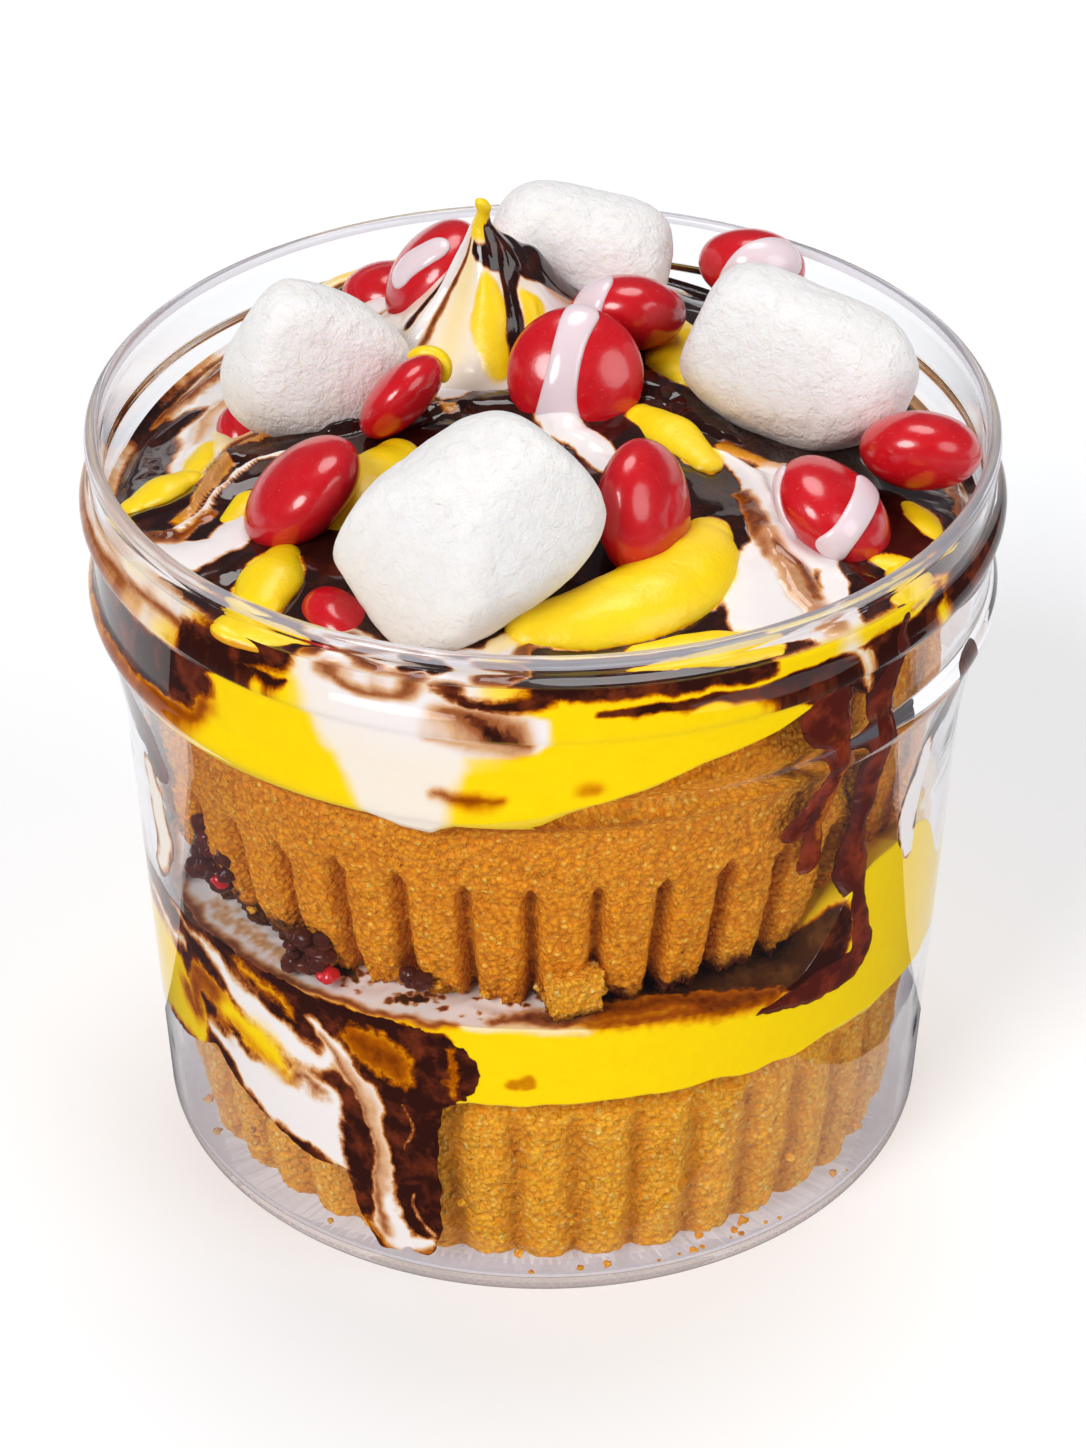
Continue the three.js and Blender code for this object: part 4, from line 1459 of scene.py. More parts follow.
@dataclass
class Crown:
    """Thick custard on top of the cakes, drawn up to a peak and streaked with sauces."""

    peak: tuple[float, float] = (-5.6, 17.0)
    peak_height: float = 3.0
    peak_spread: float = 4.4
    under: float = 57.4
    columns: int = 560
    rows: int = 178
    stops: tuple[float, ...] = (0, 2, 4.5, 50.5, 55.5, 178)
    meniscus: float = 0.5
    dollop_margin: float = 0.1

    def place(self, turn: Array, along: Array) -> Array:
        """Rule for the whole surface.

        Args:
            turn: Share of a turn, from 0 to 1.
            along: Share of the way from the middle of the underside to the middle of the top.

        Returns:
            Rows of x, y and z in millimetres.
        """
        bearing = crowded(turn)
        foot, rim = circular(BAND_FOOT, bearing), circular(RIM_HEIGHT, bearing)
        foot = foot + 0.25 * np.sin(np.radians(bearing * 9))
        stops = [row / self.rows for row in self.stops]
        bend, climb, lip, inward = stages(along, stops[1:])
        below = np.interp(along, stops[:3], (0, 37, 41.2))
        under_height = self.under + (foot - self.under) * smooth(30, 41, below)
        under_height += 0.6 * (1 - bend) * smooth(30, 37, below)
        on_wall, on_top = along >= stops[2], along >= stops[3]
        height = np.where(on_wall, foot + 0.5 + (rim - foot - 0.5) * climb, under_height)
        hug = JAR.touch(height)
        tuck = 0.5 * np.clip(1 - climb * 12, 0, 1) ** 2
        radius = np.where(on_wall, hug - tuck, np.minimum(below, hug - 0.6))
        radius = np.where(on_top, hug - self.meniscus * lip - (hug - self.meniscus) * inward, radius)
        flat = around(bearing, radius, 0)
        top = Paint(flat[:, :2], seed=21).lay((*TOP_STROKES, *self.dollop_feet()))
        side = Paint(unrolled(bearing, height), seed=22).lay_round(WALL_STROKES, blur=1.5)
        self.paint = side.blend(top, np.where(on_top, smooth(0.0, 0.03, inward), 0.0))
        mound = self.mound(flat, top)
        climbing = 0.7 * np.exp(-np.clip(hug - radius, 0, None) / 0.7)
        raised = rim + (mound + top.rise - rim) * smooth(0, 0.05, inward) + climbing
        return around(bearing, radius, np.where(on_top, raised, height))

    def mound(self, flat: Array, top: Paint) -> Array:
        """Height of the top under its sauces, with the foot of the peak and soft lumps.

        Args:
            flat: Rows of x, y and 0.
            top: The paint on the top.

        Returns:
            A height for each row.
        """
        x, y = flat[:, 0], flat[:, 1]
        mound = top_height(x, y)
        far = np.hypot(x - self.peak[0], y - self.peak[1])
        mound += self.peak_height * np.exp(-((far / self.peak_spread) ** 1.3))
        grain = Grain(23)
        return mound + (0.3 * grain.at(flat, 7) + 0.05 * top.dry() * grain.at(flat, 1.2))

    def dollop_feet(self) -> list[Stroke]:
        """Custard on the crown under each dollop, a little narrower than the dollop."""
        lines = [[(x, y, half - self.dollop_margin) for x, y, half in line] for line in DOLLOP_LINES]
        return [CUSTARD(*line, rise=0) for line in lines]

    def build(self) -> None:
        """Makes the crown and dresses it."""
        piece = sheet("crown", self.columns, self.rows, self.place)
        self.paint.keep(piece)
        press(serve(seal(piece), "custard", SauceBlend(), "crown_custard"))


def specks(seed: int, count: int, largest: float) -> list[Stroke]:
    """Scattered brown specks on the milk that lies on the filling.

    Args:
        seed: Seed of their places.
        count: How many there are.
        largest: Half width of the largest in millimetres.

    Returns:
        One stroke for each speck.
    """
    chance = random.Random(seed)
    found = []
    for _ in range(count):
        bearing, height = chance.uniform(-40, 2), chance.uniform(35, 38.6)
        half = largest * chance.uniform(0.2, 1) ** 2
        end = (bearing + chance.uniform(-1, 1), height + chance.uniform(-0.3, 0.3), half * 0.5)
        found.append(SYRUP((bearing, height, half), end, soft=0.25, ragged=0.3))
    return found


FILLING_STROKES = (
    # pools on top, beyond the line where the filling meets the wall
    MILK((-98, 38, 5.8), (-70, 38, 5.8), (-40, 38.4, 5.4), (-20, 38.4, 5), (-4, 37.4, 3.6), (4, 36.4, 1.8),
         soft=0.6),
    CHOCOLATE((9, 38.4, 2), (18, 38.6, 3.4), (30, 37.6, 4.4), (41, 36.4, 4.6), soft=0.6),
    SYRUP((-6, 35, 0.7), (6, 35.6, 1.6), (14, 35.8, 2), (24, 34.6, 1.9), (33, 33, 1.2), soft=1.3,
          ragged=0.4),
    CARAMEL((6, 35, 0.4), (13, 35.2, 0.6), (21, 34.6, 0.5), soft=1, ragged=0.3),
    CARAMEL((-60, 35.6, 0.4), (-48, 35.4, 0.4), (-38, 36, 0.8), (-33, 37, 0.8), soft=1, ragged=0.8),
    CHOCOLATE((-92, 31.4, 1.9), (-60, 31.4, 1.9), (-30, 31.2, 1.8), (-14, 31, 1.4), soft=0.4),
    CHOCOLATE((-36, 38.6, 1.6), (-33, 37.6, 1.2), (-30, 36.6, 0.6), soft=0.5, ragged=0.6),
    CHOCOLATE((-22, 36.4, 0.5), (-19, 36.4, 0.7), (-17.6, 36.8, 0.4), soft=0.5, ragged=0.6),
    SYRUP((-90, 33.6, 0.4), (-66, 33.4, 0.5), (-40, 33.5, 0.4), (-12, 33.5, 0.4), soft=0.7),
    CREAM((-10, 33.4, 0.4), (-3, 33.8, 0.6), (6, 33.6, 0.4), soft=0.5),
    CHOCOLATE((96, 30.6, 0.6), (112, 30, 1.4), (128, 29.4, 1.9), (146, 29.4, 0.9), soft=0.5),
    MILK((-168, 28.6, 0.7), (-150, 28.8, 1.5), (-132, 29.4, 1.9), (-112, 30.4, 1.1), soft=0.5),
    *specks(34, 36, 0.5),
    CARAMEL((-3.8, 26.9, 0.7), (-2.2, 27.3, 0.8), soft=0.25),
)

RUN_OUTLINE = (
    CUSTARD((-90, 24, 8.6), (-80, 23.6, 9), (-70, 24, 8.8), (-62, 24.8, 7.8), (-57, 26.4, 6.2)),
    MILK((-57, 26.4, 6.2), (-50, 25.8, 7.2), (-44, 24, 9), (-38, 23, 10), (-32.5, 22.2, 10.3)),
    CHOCOLATE((-26, 27, 5.6), (-19, 27.4, 5.2), (-15.2, 27.6, 4.4), (-13.4, 26.6, 2.6), ragged=0.3),
    CHOCOLATE((-19.4, 23, 3.4), (-18.2, 14, 2.3), (-17.8, 8, 2.1), (-18, 5.4, 1.9)),
    CHOCOLATE((-27, 20, 2.4), (-26.4, 14, 2.2), (-25.4, 8.6, 2.1), (-23, 5.3, 2.1)),
    CHOCOLATE((-23, 20, 3.4), (-22, 12, 3.2), (-21.4, 7.8, 2.4)),
)

RUN_STROKES = (
    CHOCOLATE((-95, 22, 20), (-10, 22, 20)),
    # far left custard under streaks of milk
    CUSTARD((-95, 22, 6), (-80, 21, 6.4), (-70, 21.4, 6), (-63, 20.6, 4.2), (-60.4, 18.4, 1.8), soft=1),
    MILK((-88, 30.4, 0.6), (-74, 29.4, 0.9), (-67, 28, 1.1), (-62, 28.8, 0.8), soft=1, ragged=0.18),
    SYRUP((-63, 22.6, 1), (-60.6, 20.8, 0.8), (-59, 25, 1.2), soft=1.3, ragged=0.24),
    # amber heart of the dark mass
    CUSTARD((-57, 26.6, 0.9), (-54, 25.6, 1.3), (-51, 24.8, 1.3), soft=1.3, ragged=0.24),
    SYRUP((-57.6, 26.4, 1.2), (-54, 25.8, 1.5), (-51.6, 26, 1), soft=1.6, ragged=0.36),
    # white tongue and the white sheet below it
    MILK((-66, 32.2, 0.3), (-58, 31.4, 0.7), (-52, 30.2, 1.3), (-47.5, 28.5, 1.8), (-42.5, 26.8, 2),
         (-38, 25.4, 1.9), (-34, 24.8, 1.6), (-31, 26.4, 1.3), soft=0.9),
    MILK((-56, 20.9, 0.7), (-50, 19.6, 1.8), (-45, 18, 3.1), (-40, 17.4, 4), (-35, 18.4, 4.8),
         (-31.5, 16.6, 4.2), (-29, 13.4, 2.2), (-27.4, 10.6, 1.2), soft=0.7),
    CUSTARD((-50.4, 25, 1.6), (-46, 24.3, 2.1), (-42, 23, 1.9), (-38.8, 22, 1.2), soft=1.2, ragged=0.24),
    CARAMEL((-49, 23.4, 0.5), (-44, 22.2, 0.5), (-40, 21, 0.4), soft=1.3, ragged=0.36),
    SYRUP((-37.6, 21.6, 0.4), (-35.6, 22.2, 0.5), (-33.6, 21.2, 0.5), soft=1.2, ragged=0.72),
    CARAMEL((-47, 31.6, 0.7), (-41, 31.2, 0.8), (-36.6, 29.4, 0.5), soft=1.3, ragged=0.24),
    SYRUP((-56, 22, 0.3), (-52.6, 22.6, 0.5), (-50.6, 21.6, 0.3), soft=1),
    # amber glow and dark body in the middle
    CUSTARD((-26, 29, 0.9), (-22.4, 28.2, 1.5), (-20.6, 26.8, 1.2), soft=1.3, ragged=0.36),
    SYRUP((-27, 29.4, 1.4), (-22.4, 27.8, 2), (-20, 26.6, 1.4), soft=1.6, ragged=0.48),
    SYRUP((-12.8, 30.4, 0.5), (-12, 27, 0.5), (-12.6, 24.6, 0.4), soft=0.9, ragged=0.24),
    # pale ribbon that runs down to a rounded foot
    MILK((-33, 29.6, 0.7), (-30, 27, 1.3), (-27.6, 24.6, 1.5), (-25.2, 21.4, 1.5), (-24.2, 17.4, 1.2),
         (-23.8, 13, 1.2), (-23.4, 9.4, 1.4), (-22.8, 6, 1.9), (-20.8, 4.6, 1.6), (-17.6, 4.8, 1),
         soft=0.5),
    SYRUP((-32, 28, 0.25), (-29.4, 25.4, 0.35), (-26.6, 22, 0.35), (-25, 17.6, 0.3), (-24.5, 12, 0.3),
          (-24.2, 8, 0.35), (-23, 5, 0.3), soft=0.7),
    CARAMEL((-28, 25.6, 0.3), (-25, 21.6, 0.4), (-23.6, 17, 0.3), (-23.2, 11, 0.3), soft=0.9),
    CHOCOLATE((-28.4, 22, 0.8), (-27.8, 18, 1.4), (-27.4, 14, 1.3), (-27.2, 10.6, 1.1), soft=0.7,
              ragged=0.3),
    CHOCOLATE((-20.6, 23, 1.2), (-20.4, 17, 1), (-19.6, 11, 1), (-19.4, 8, 0.8), soft=0.6),
    MILK((-19.6, 22.8, 0.15), (-18.7, 20.8, 0.2), (-19.1, 17, 0.15), soft=0.4),
    MILK((-16.8, 6.2, 0.25), (-18.4, 8, 0.3), (-19, 11, 0.2), soft=0.4),
    SYRUP((-26.6, 6.4, 0.3), (-24, 3.4, 0.3), (-20, 2.9, 0.3), (-16.6, 3.8, 0.3), soft=0.7),
)


@dataclass
class Filling:
    """Custard between the two cakes, with pools of milk and chocolate on its open rim."""

    foot: float = 22.9
    shelf_radius: float = 33.0
    heap: float = 10.5
    heap_bearing: float = 57.0
    heap_width: float = 15.0
    under: float = 21.6
    ledge: float = 33.6
    ring_radius: float = 38.0
    stops: tuple[float, ...] = (0.0, 0.06, 0.14, 0.56, 0.92, 1.0)
    columns: int = 640
    rows: int = 130

    def contact(self, bearing: Array) -> Array:
        """Height at which the filling leaves the wall."""
        heap = self.heap * np.exp(-(((bearing - self.heap_bearing) / self.heap_width) ** 4))
        return 31.4 + 2.2 * np.cos(np.radians(bearing)) + heap

    def place(self, turn: Array, along: Array) -> Array:
        """Rule for the whole surface.

        Args:
            turn: Share of a turn, from 0 to 1.
            along: Share of the way from the middle of the underside to the middle of the top.

        Returns:
            Rows of x, y and z in millimetres.
        """
        bearing = crowded(turn)
        grain = Grain(31)
        ring = around(bearing, self.ring_radius, 0)
        foot = self.foot + 0.8 * np.sin(np.radians(3 * bearing + 40)) + 0.5 * grain.at(ring, 5, 2)
        top = self.contact(bearing) + 0.25 * grain.at(ring, 7)
        bend, climb, inward, inmost = stages(along, self.stops[1:])
        on_wall, on_top = along >= self.stops[2], along >= self.stops[3]
        wall_height = foot + 0.6 + (top - foot - 0.6) * climb
        height = np.where(on_wall, wall_height, self.under + (foot - self.under) * bend)
        hug = JAR.touch(height)
        tuck = 0.55 * np.clip(1 - climb * 14, 0, 1) ** 2
        below = np.interp(along, self.stops[:3], (0, 34, 36.8))
        radius = np.where(on_wall, hug - tuck, np.minimum(below, hug - 0.7))
        shelf = hug + (self.shelf_radius - hug) * inward
        radius = np.where(on_top, shelf * (1 - inmost), radius)
        depth = hug - radius
        spots = unrolled(bearing, np.where(on_top, top + depth, height))
        self.paint = Paint(spots, seed=32).lay_round(FILLING_STROKES)
        level = np.maximum(self.ledge, self.contact(bearing) - 1.2)
        settle = smooth(0.5, 4.5, depth)
        flat = around(bearing, radius, 0)
        dry = self.paint.dry()
        rough = 0.2 * grain.at(flat, 3, 2) * settle * (0.4 + dry)
        rough += 0.3 * (1 - dry) * settle * (0.5 - 2 * np.abs(grain.at(flat + 9, 3.4)))
        height = np.where(on_top, top + (level - top) * settle + rough, height)
        return around(bearing, radius, height)

    def build(self) -> None:
        """Makes the filling and dresses it."""
        piece = sheet("filling", self.columns, self.rows, self.place)
        self.paint.keep(piece)
        press(serve(seal(piece), "custard", POOLED, "middle_custard", "milk_pool", "chocolate_pool"))


@dataclass
class WallFilm:
    """Sauce pressed flat against the inside of the wall, with a rounded edge."""

    name: str
    outline: tuple[Stroke, ...]
    strokes: tuple[Stroke, ...]
    seed: int
    thickness: float = 0.7
    press: float = 0.06
    rounding: float = 0.0
    step: float = 0.26
    finish: SauceBlend = PRESSED
    nodes: tuple[str, ...] = ()

    def edge(self, spots: Array) -> Array:
        """Distance of spots on the unrolled wall from the film's edge, below 0 inside it."""
        return Paint(spots, self.seed, warp=0.35).lay_round(self.outline).reach

    def build(self) -> None:
        """Makes the film and dresses it."""
        rows = np.concatenate([np.array(stroke.around_jar(WALL_RADIUS).line) for stroke in self.outline])
        low = (rows[:, :2] - rows[:, 2:]).min(0) - 1
        high = (rows[:, :2] + rows[:, 2:]).max(0) + 1
        across, up = ((high - low) / self.step).astype(int)

        def place(u: Array, v: Array) -> Array:
            """Rule for a flat sheet that covers the whole outline."""
            return stacked(low[0] + (high[0] - low[0]) * u, low[1] + (high[1] - low[1]) * v, 0)

        piece = sheet(self.name, int(across), int(up), place)
        spots = read_points(piece)[:, :2]
        outside = self.edge(spots) > 0
        corners = np.empty(len(piece.data.polygons) * 4, dtype=int)
        piece.data.polygons.foreach_get("vertices", corners)
        corners = corners.reshape(-1, 4)
        kept = np.zeros(len(spots), dtype=bool)
        kept[corners[~outside[corners].all(1)]] = True
        drop_points(piece, ~kept)
        spots = self.trim(read_points(piece)[:, :2])
        Paint(spots, self.seed + 1, warp=0.8, size=4).lay_round(self.strokes, blur=1.3).keep(piece)
        inside = np.clip(-self.edge(spots) / 1.1, 0, 1)
        depth = 0.03 + self.thickness * np.sqrt(1 - (1 - inside) ** 2)
        bearing = np.degrees(spots[:, 0] / WALL_RADIUS)
        face = JAR.touch(spots[:, 1]) + self.press - self.rounding * (1 - inside) ** 2
        write_points(piece, around(bearing, face, spots[:, 1]))
        backed(piece, around(bearing, face - depth, spots[:, 1]))
        serve(piece, "chocolate", self.finish, *self.nodes)

    def trim(self, spots: Array) -> Array:
        """Draws spots that lie beyond the film's edge back to it.

        Args:
            spots: Rows of two positions on the unrolled wall.

        Returns:
            The moved rows.
        """
        nudge = 0.05
        for _ in range(3):
            gap = self.edge(spots)
            slope = stacked(*(self.edge(spots + way) - gap for way in ((nudge, 0), (0, nudge)))) / nudge
            steep = np.maximum((slope**2).sum(1), 0.3)
            spots = spots - slope * (np.maximum(gap, 0) / steep)[:, None]
        return spots


MAIN_DRIP = CHOCOLATE((50.5, 71.6, 1.1), (50, 70, 1.4), (48.5, 67, 1.7), (47.3, 65, 1.8), (47, 62, 1.6),
                      (47.5, 59, 1.7), (47.3, 55, 1.9), (47.6, 51.6, 1.7), (47.2, 48.8, 1.3),
                      (46.6, 46, 2.1), (46.8, 43.5, 2.3), (48, 40.8, 1.8), (48.2, 38.8, 1.9),
                      (49.3, 35.5, 2), (49.8, 33.3, 2.4), (48.5, 31.8, 2.5), (45, 31.6, 2.5),
                      (40, 31.4, 2.3), (35, 31.3, 1.7), (31, 31.2, 0.9), ragged=0.08)
SIDE_DRIP = (
    CHOCOLATE((37.6, 66.4, 3), (37.4, 64.4, 2.6), (39.4, 62, 1.8), (39.8, 59, 1.3), (38.9, 55.4, 1.1),
              (38.2, 52.2, 1.1), (38.2, 49.4, 1.3), (38.2, 47.2, 1.5)),
    CHOCOLATE((37.6, 56, 0.6), (36.2, 54, 1), (34.2, 52, 1.2)),
)
BACK_DRIP = CHOCOLATE((137, 66, 2.2), (136, 62, 1.6), (136.6, 58, 1.3), (136, 53.6, 1.3), (136.4, 50, 1.8))
BACK_RUN = CHOCOLATE((-121, 64, 2.4), (-122, 60, 1.7), (-121.4, 56, 1.4), (-122, 52, 1.3),
                     (-121.6, 47, 1.4), (-122, 43.4, 1.9))
RIGHT_SMEAR = (
    CHOCOLATE((68, 60, 1.6), (65, 57, 1.8), (61.5, 53.4, 1.2)),
    MILK((61, 53, 1.2), (60.5, 49, 1.8), (59, 44.6, 1.8), (60, 41, 1.2)),
)
LEFT_SMEAR = (
    CHOCOLATE((-69, 57, 1.4), (-66, 53, 2.6), (-64, 49.6, 2.4), soft=0.8),
    THIN_MILK((-68, 47, 1.4), (-66, 43, 2.2), (-65, 39, 2), (-68, 35.6, 1.4), soft=0.8),
)


def drip(name: str, outline: tuple[Stroke, ...], *over: Stroke, **settings: object) -> WallFilm:
    """Film of chocolate that fills an outline, with other strokes over it."""
    return WallFilm(name, outline, (CHOCOLATE((0, 45, 200)), *over), **settings)


def wall_films() -> tuple[WallFilm, ...]:
    """The marbled run on the left and the drips and smears on the right and at the back.

    Returns:
        The films, ready to build.
    """
    pale = SYRUP((41, 60, 0.5), (39.6, 55, 0.5), (38.4, 50, 0.4), soft=0.8)
    round_edge, thin_edge = ({"rounding": depth, "finish": DRIPPING} for depth in (0.5, 0.45))
    return (
        WallFilm("marbled_sauce_run", RUN_OUTLINE, RUN_STROKES, seed=41, nodes=("marbled_run",)),
        drip("long_drip", (MAIN_DRIP,), seed=43, thickness=0.9, **round_edge),
        drip("short_drip", SIDE_DRIP, pale, seed=45, **thin_edge),
        drip("back_drip", (BACK_DRIP,), seed=51, thickness=0.8, **round_edge),
        drip("back_run", (BACK_RUN,), seed=53, **thin_edge),
        drip("right_smear", RIGHT_SMEAR, RIGHT_SMEAR[1], seed=47, thickness=0.4),
        drip("left_smear", LEFT_SMEAR, LEFT_SMEAR[1], seed=49, thickness=0.2),
    )


# ---------- toppings


def turned(points: Array, lean: float, bearing: float, spin: float = 0.0) -> Array:
    """Points turned so that their own Z axis leans from upright towards a bearing.

    Args:
        points: Rows of x, y and z.
        lean: Degrees between the turned axis and upright.
        bearing: The bearing that the axis leans towards.
        spin: Degrees by which the points turn about their own Z axis first.

    Returns:
        The turned rows.
    """
    turn = Matrix.Rotation(math.radians(bearing), 3, "Z") @ Matrix.Rotation(math.radians(lean), 3, "X")
    turn = turn @ Matrix.Rotation(math.radians(spin), 3, "Z")
    return points @ np.array(turn).T


def ball(name: str, detail: int) -> Piece:
    """Round ball of even triangles, 1 mm in radius.

    Args:
        name: The piece's name.
        detail: How many times its triangles are divided.

    Returns:
        The new object, at the origin.
    """
    bpy.ops.object.select_all(action="DESELECT")
    bpy.ops.mesh.primitive_ico_sphere_add(subdivisions=detail, radius=MM)
    piece = bpy.context.object
    piece.name = piece.data.name = name
    return piece


@dataclass
class Marshmallow:
    """Short drum of sugar foam, softly squashed where it was pressed."""

    name: str
    across: float
    length: float
    at: Triple
    lean: float
    bearing: float
    seed: int
    squareness: float = 3.3
    firmness: float = 1.6
    give: float = 0.8
    dents: tuple[tuple[float, float, float, float], ...] = ()

    def build(self) -> None:
        """Makes the marshmallow and dresses it."""
        piece = ball(f"foam_{self.name}", 6)
        way = unit(read_points(piece))
        power = self.squareness
        flat = (np.hypot(way[:, 0], way[:, 1]) / (self.across / 2)) ** power
        reach = (flat + (np.abs(way[:, 2]) / (self.length / 2)) ** power) ** (-1 / power)
        points = way * reach[:, None]
        grain = Grain(self.seed)
        points += way * (0.35 * grain.at(points, 8) + 0.07 * grain.at(points, 2.2, 2))[:, None]
        points = turned(points, self.lean, self.bearing)
        for x, y, z, keep in self.dents:
            facing = np.array([x, y, z]) / math.sqrt(x * x + y * y + z * z)
            proud = points @ facing - keep
            eased = np.log1p(np.exp(np.minimum(proud, 3) * self.firmness)) / self.firmness
            proud = np.where(proud > 3, proud, eased) - 0.1
            points -= facing * (self.give * np.clip(proud, 0, None))[:, None]
        write_points(piece, points + self.at)
        # Painted shade and warm bounce light: the low number tints the lower side, more towards the left;
        # touch marks the sauce stain at the bottom.
        low = (points[:, 2] + 0.35 * points[:, 0]) / np.ptp(points[:, 2])
        touch = smooth(-0.30, -0.42, points[:, 2] / np.ptp(points[:, 2]))
        write_numbers(piece, low=smooth(0.15, -0.55, low) * 0.75, touch=touch)
        serve(seal(piece), "marshmallow", Foam(), f"marshmallow_{self.name}")


MARSHMALLOWS = (
    Marshmallow("front", 17.8, 23.8, (-6.6, -28.8, 81.4), 63, 110, 61, dents=(
        (-0.857, 0.285, 0.428, 9.9), (0, 0.554, 0.832, 11), (0.6, 0.443, 0.666, 11),
        (-0.5, -0.8, 0.25, 7.4), (0.5, -0.8, 0.3, 7.9), (0.8, -0.1, -0.55, 10))),
    Marshmallow("left", 15.8, 17, (-22, 7.2, 78.3), 62, -70, 62, dents=(
        (0.655, 0.419, 0.629, 7.7), (0.861, -0.282, -0.423, 7.6), (-0.8, 0.332, 0.5, 7.8),
        (0.2, -0.9, 0.35, 6.8))),
    Marshmallow("right", 15.8, 22.2, (24.7, 4.8, 79.7), 72, -106, 63, dents=(
        (-0.682, -0.405, -0.608, 8.8), (0.268, -0.534, -0.8, 8.2), (0.916, 0.222, 0.333, 10.4),
        (-0.3, -0.8, 0.45, 7))),
    Marshmallow("back", 15.4, 18.6, (3.4, 29.8, 77.4), 78, -93, 64, squareness=3.5),
)


@dataclass
class Sweet:
    """Lens-shaped sweet in a red sugar shell, some with a run of milk over it."""

    number: int
    across: float
    at: Triple
    lean: float
    bearing: float
    thickness: float = 7.5
    run_end: float = 1.6
    milk: tuple[tuple[tuple[float, float, float, float], ...], ...] = ()
    custard: tuple[tuple[tuple[float, float, float, float], ...], ...] = ()

    def shell(self, points: Array, raised: Array | float = 0.0) -> Array:
        """Draws points in space to the sweet's skin, or a height above it.

        Args:
            points: Rows of x, y and z.
            raised: Height above the skin in millimetres.

        Returns:
            The moved rows.
        """
        back = turned(np.eye(3), self.lean, self.bearing)
        local = (points - self.at) @ back.T
        halves = np.array([self.across / 2, self.across / 2, self.thickness / 2])
        way = unit(local / halves)
        normal = unit(way / halves)
        return (way * halves + normal * np.asarray(raised)[..., None]) @ back + self.at

    def build(self) -> None:
        """Makes the sweet and dresses it."""
        piece = ball(f"red_sweet_{self.number:02d}", 5)
        points = self.shell(read_points(piece) + self.at)
        lumps = Grain(70 + self.number).at(points, 4) * 0.06
        write_points(piece, self.shell(points, lumps))
        for index, line in enumerate(self.milk):
            self.stripe(f"milk_run_{self.number:02d}_{index}", line, GLAZE, 1.0)
        for index, line in enumerate(self.custard):
            self.stripe(f"custard_tag_{self.number:02d}_{index}", line, SauceBlend(), 0.0, 0.8)
        serve(seal(piece), "sugar_shell", SugarShell(), f"sweet_{self.number:02d}")

    def stripe(
        self, name: str, line: Sequence[Sequence[float]], finish: SauceBlend, milk: float, plump: float = 0.42
    ) -> Piece:
        """Makes one thick run of sauce over the sweet.

        Args:
            name: Name of the run.
            line: Points near the skin along its middle, each with half its width.
            finish: The finish it wears.
            milk: Its share of milk.
            plump: Its height in millimetres.

        Returns:
            The new object.
        """
        middle = curve(line, 8)
        path = run_length(middle[:, :3])
        centre = self.shell(middle[:, :3])
        outward = self.shell(middle[:, :3], 1.0) - centre
        aside = unit(np.cross(np.gradient(centre, axis=0), outward))

        def place(across: Array, along: Array) -> Array:
            """Rule for the outside of the run.

            Args:
                across: Share of its width, from 0 to 1.
                along: Share of the way from end to end.

            Returns:
                Rows of x, y and z in millimetres.
            """
            run = along * path[-1]
            from_end = np.minimum(run, path[-1] - run)
            taper = np.sqrt(np.clip(1 - (1 - from_end / self.run_end) ** 2, 0, 1))
            taper = np.where(from_end > self.run_end, 1.0, taper)
            half = np.interp(run, path, middle[:, 3]) * np.maximum(taper, 0.02)
            swing = (across - 0.5) * 2
            spot = follow(run, path, centre).T + follow(run, path, aside).T * (swing * half)[:, None]
            dome = np.sqrt(np.clip(1 - np.abs(swing) ** 2.6, 0, 1)) * taper
            return self.shell(spot, 0.04 + plump * dome)

        piece = sheet(name, 28, 60, place)
        backed(piece, self.shell(read_points(piece), -0.15))
        write_numbers(piece, milk=milk)
        return serve(piece, "milk", finish)


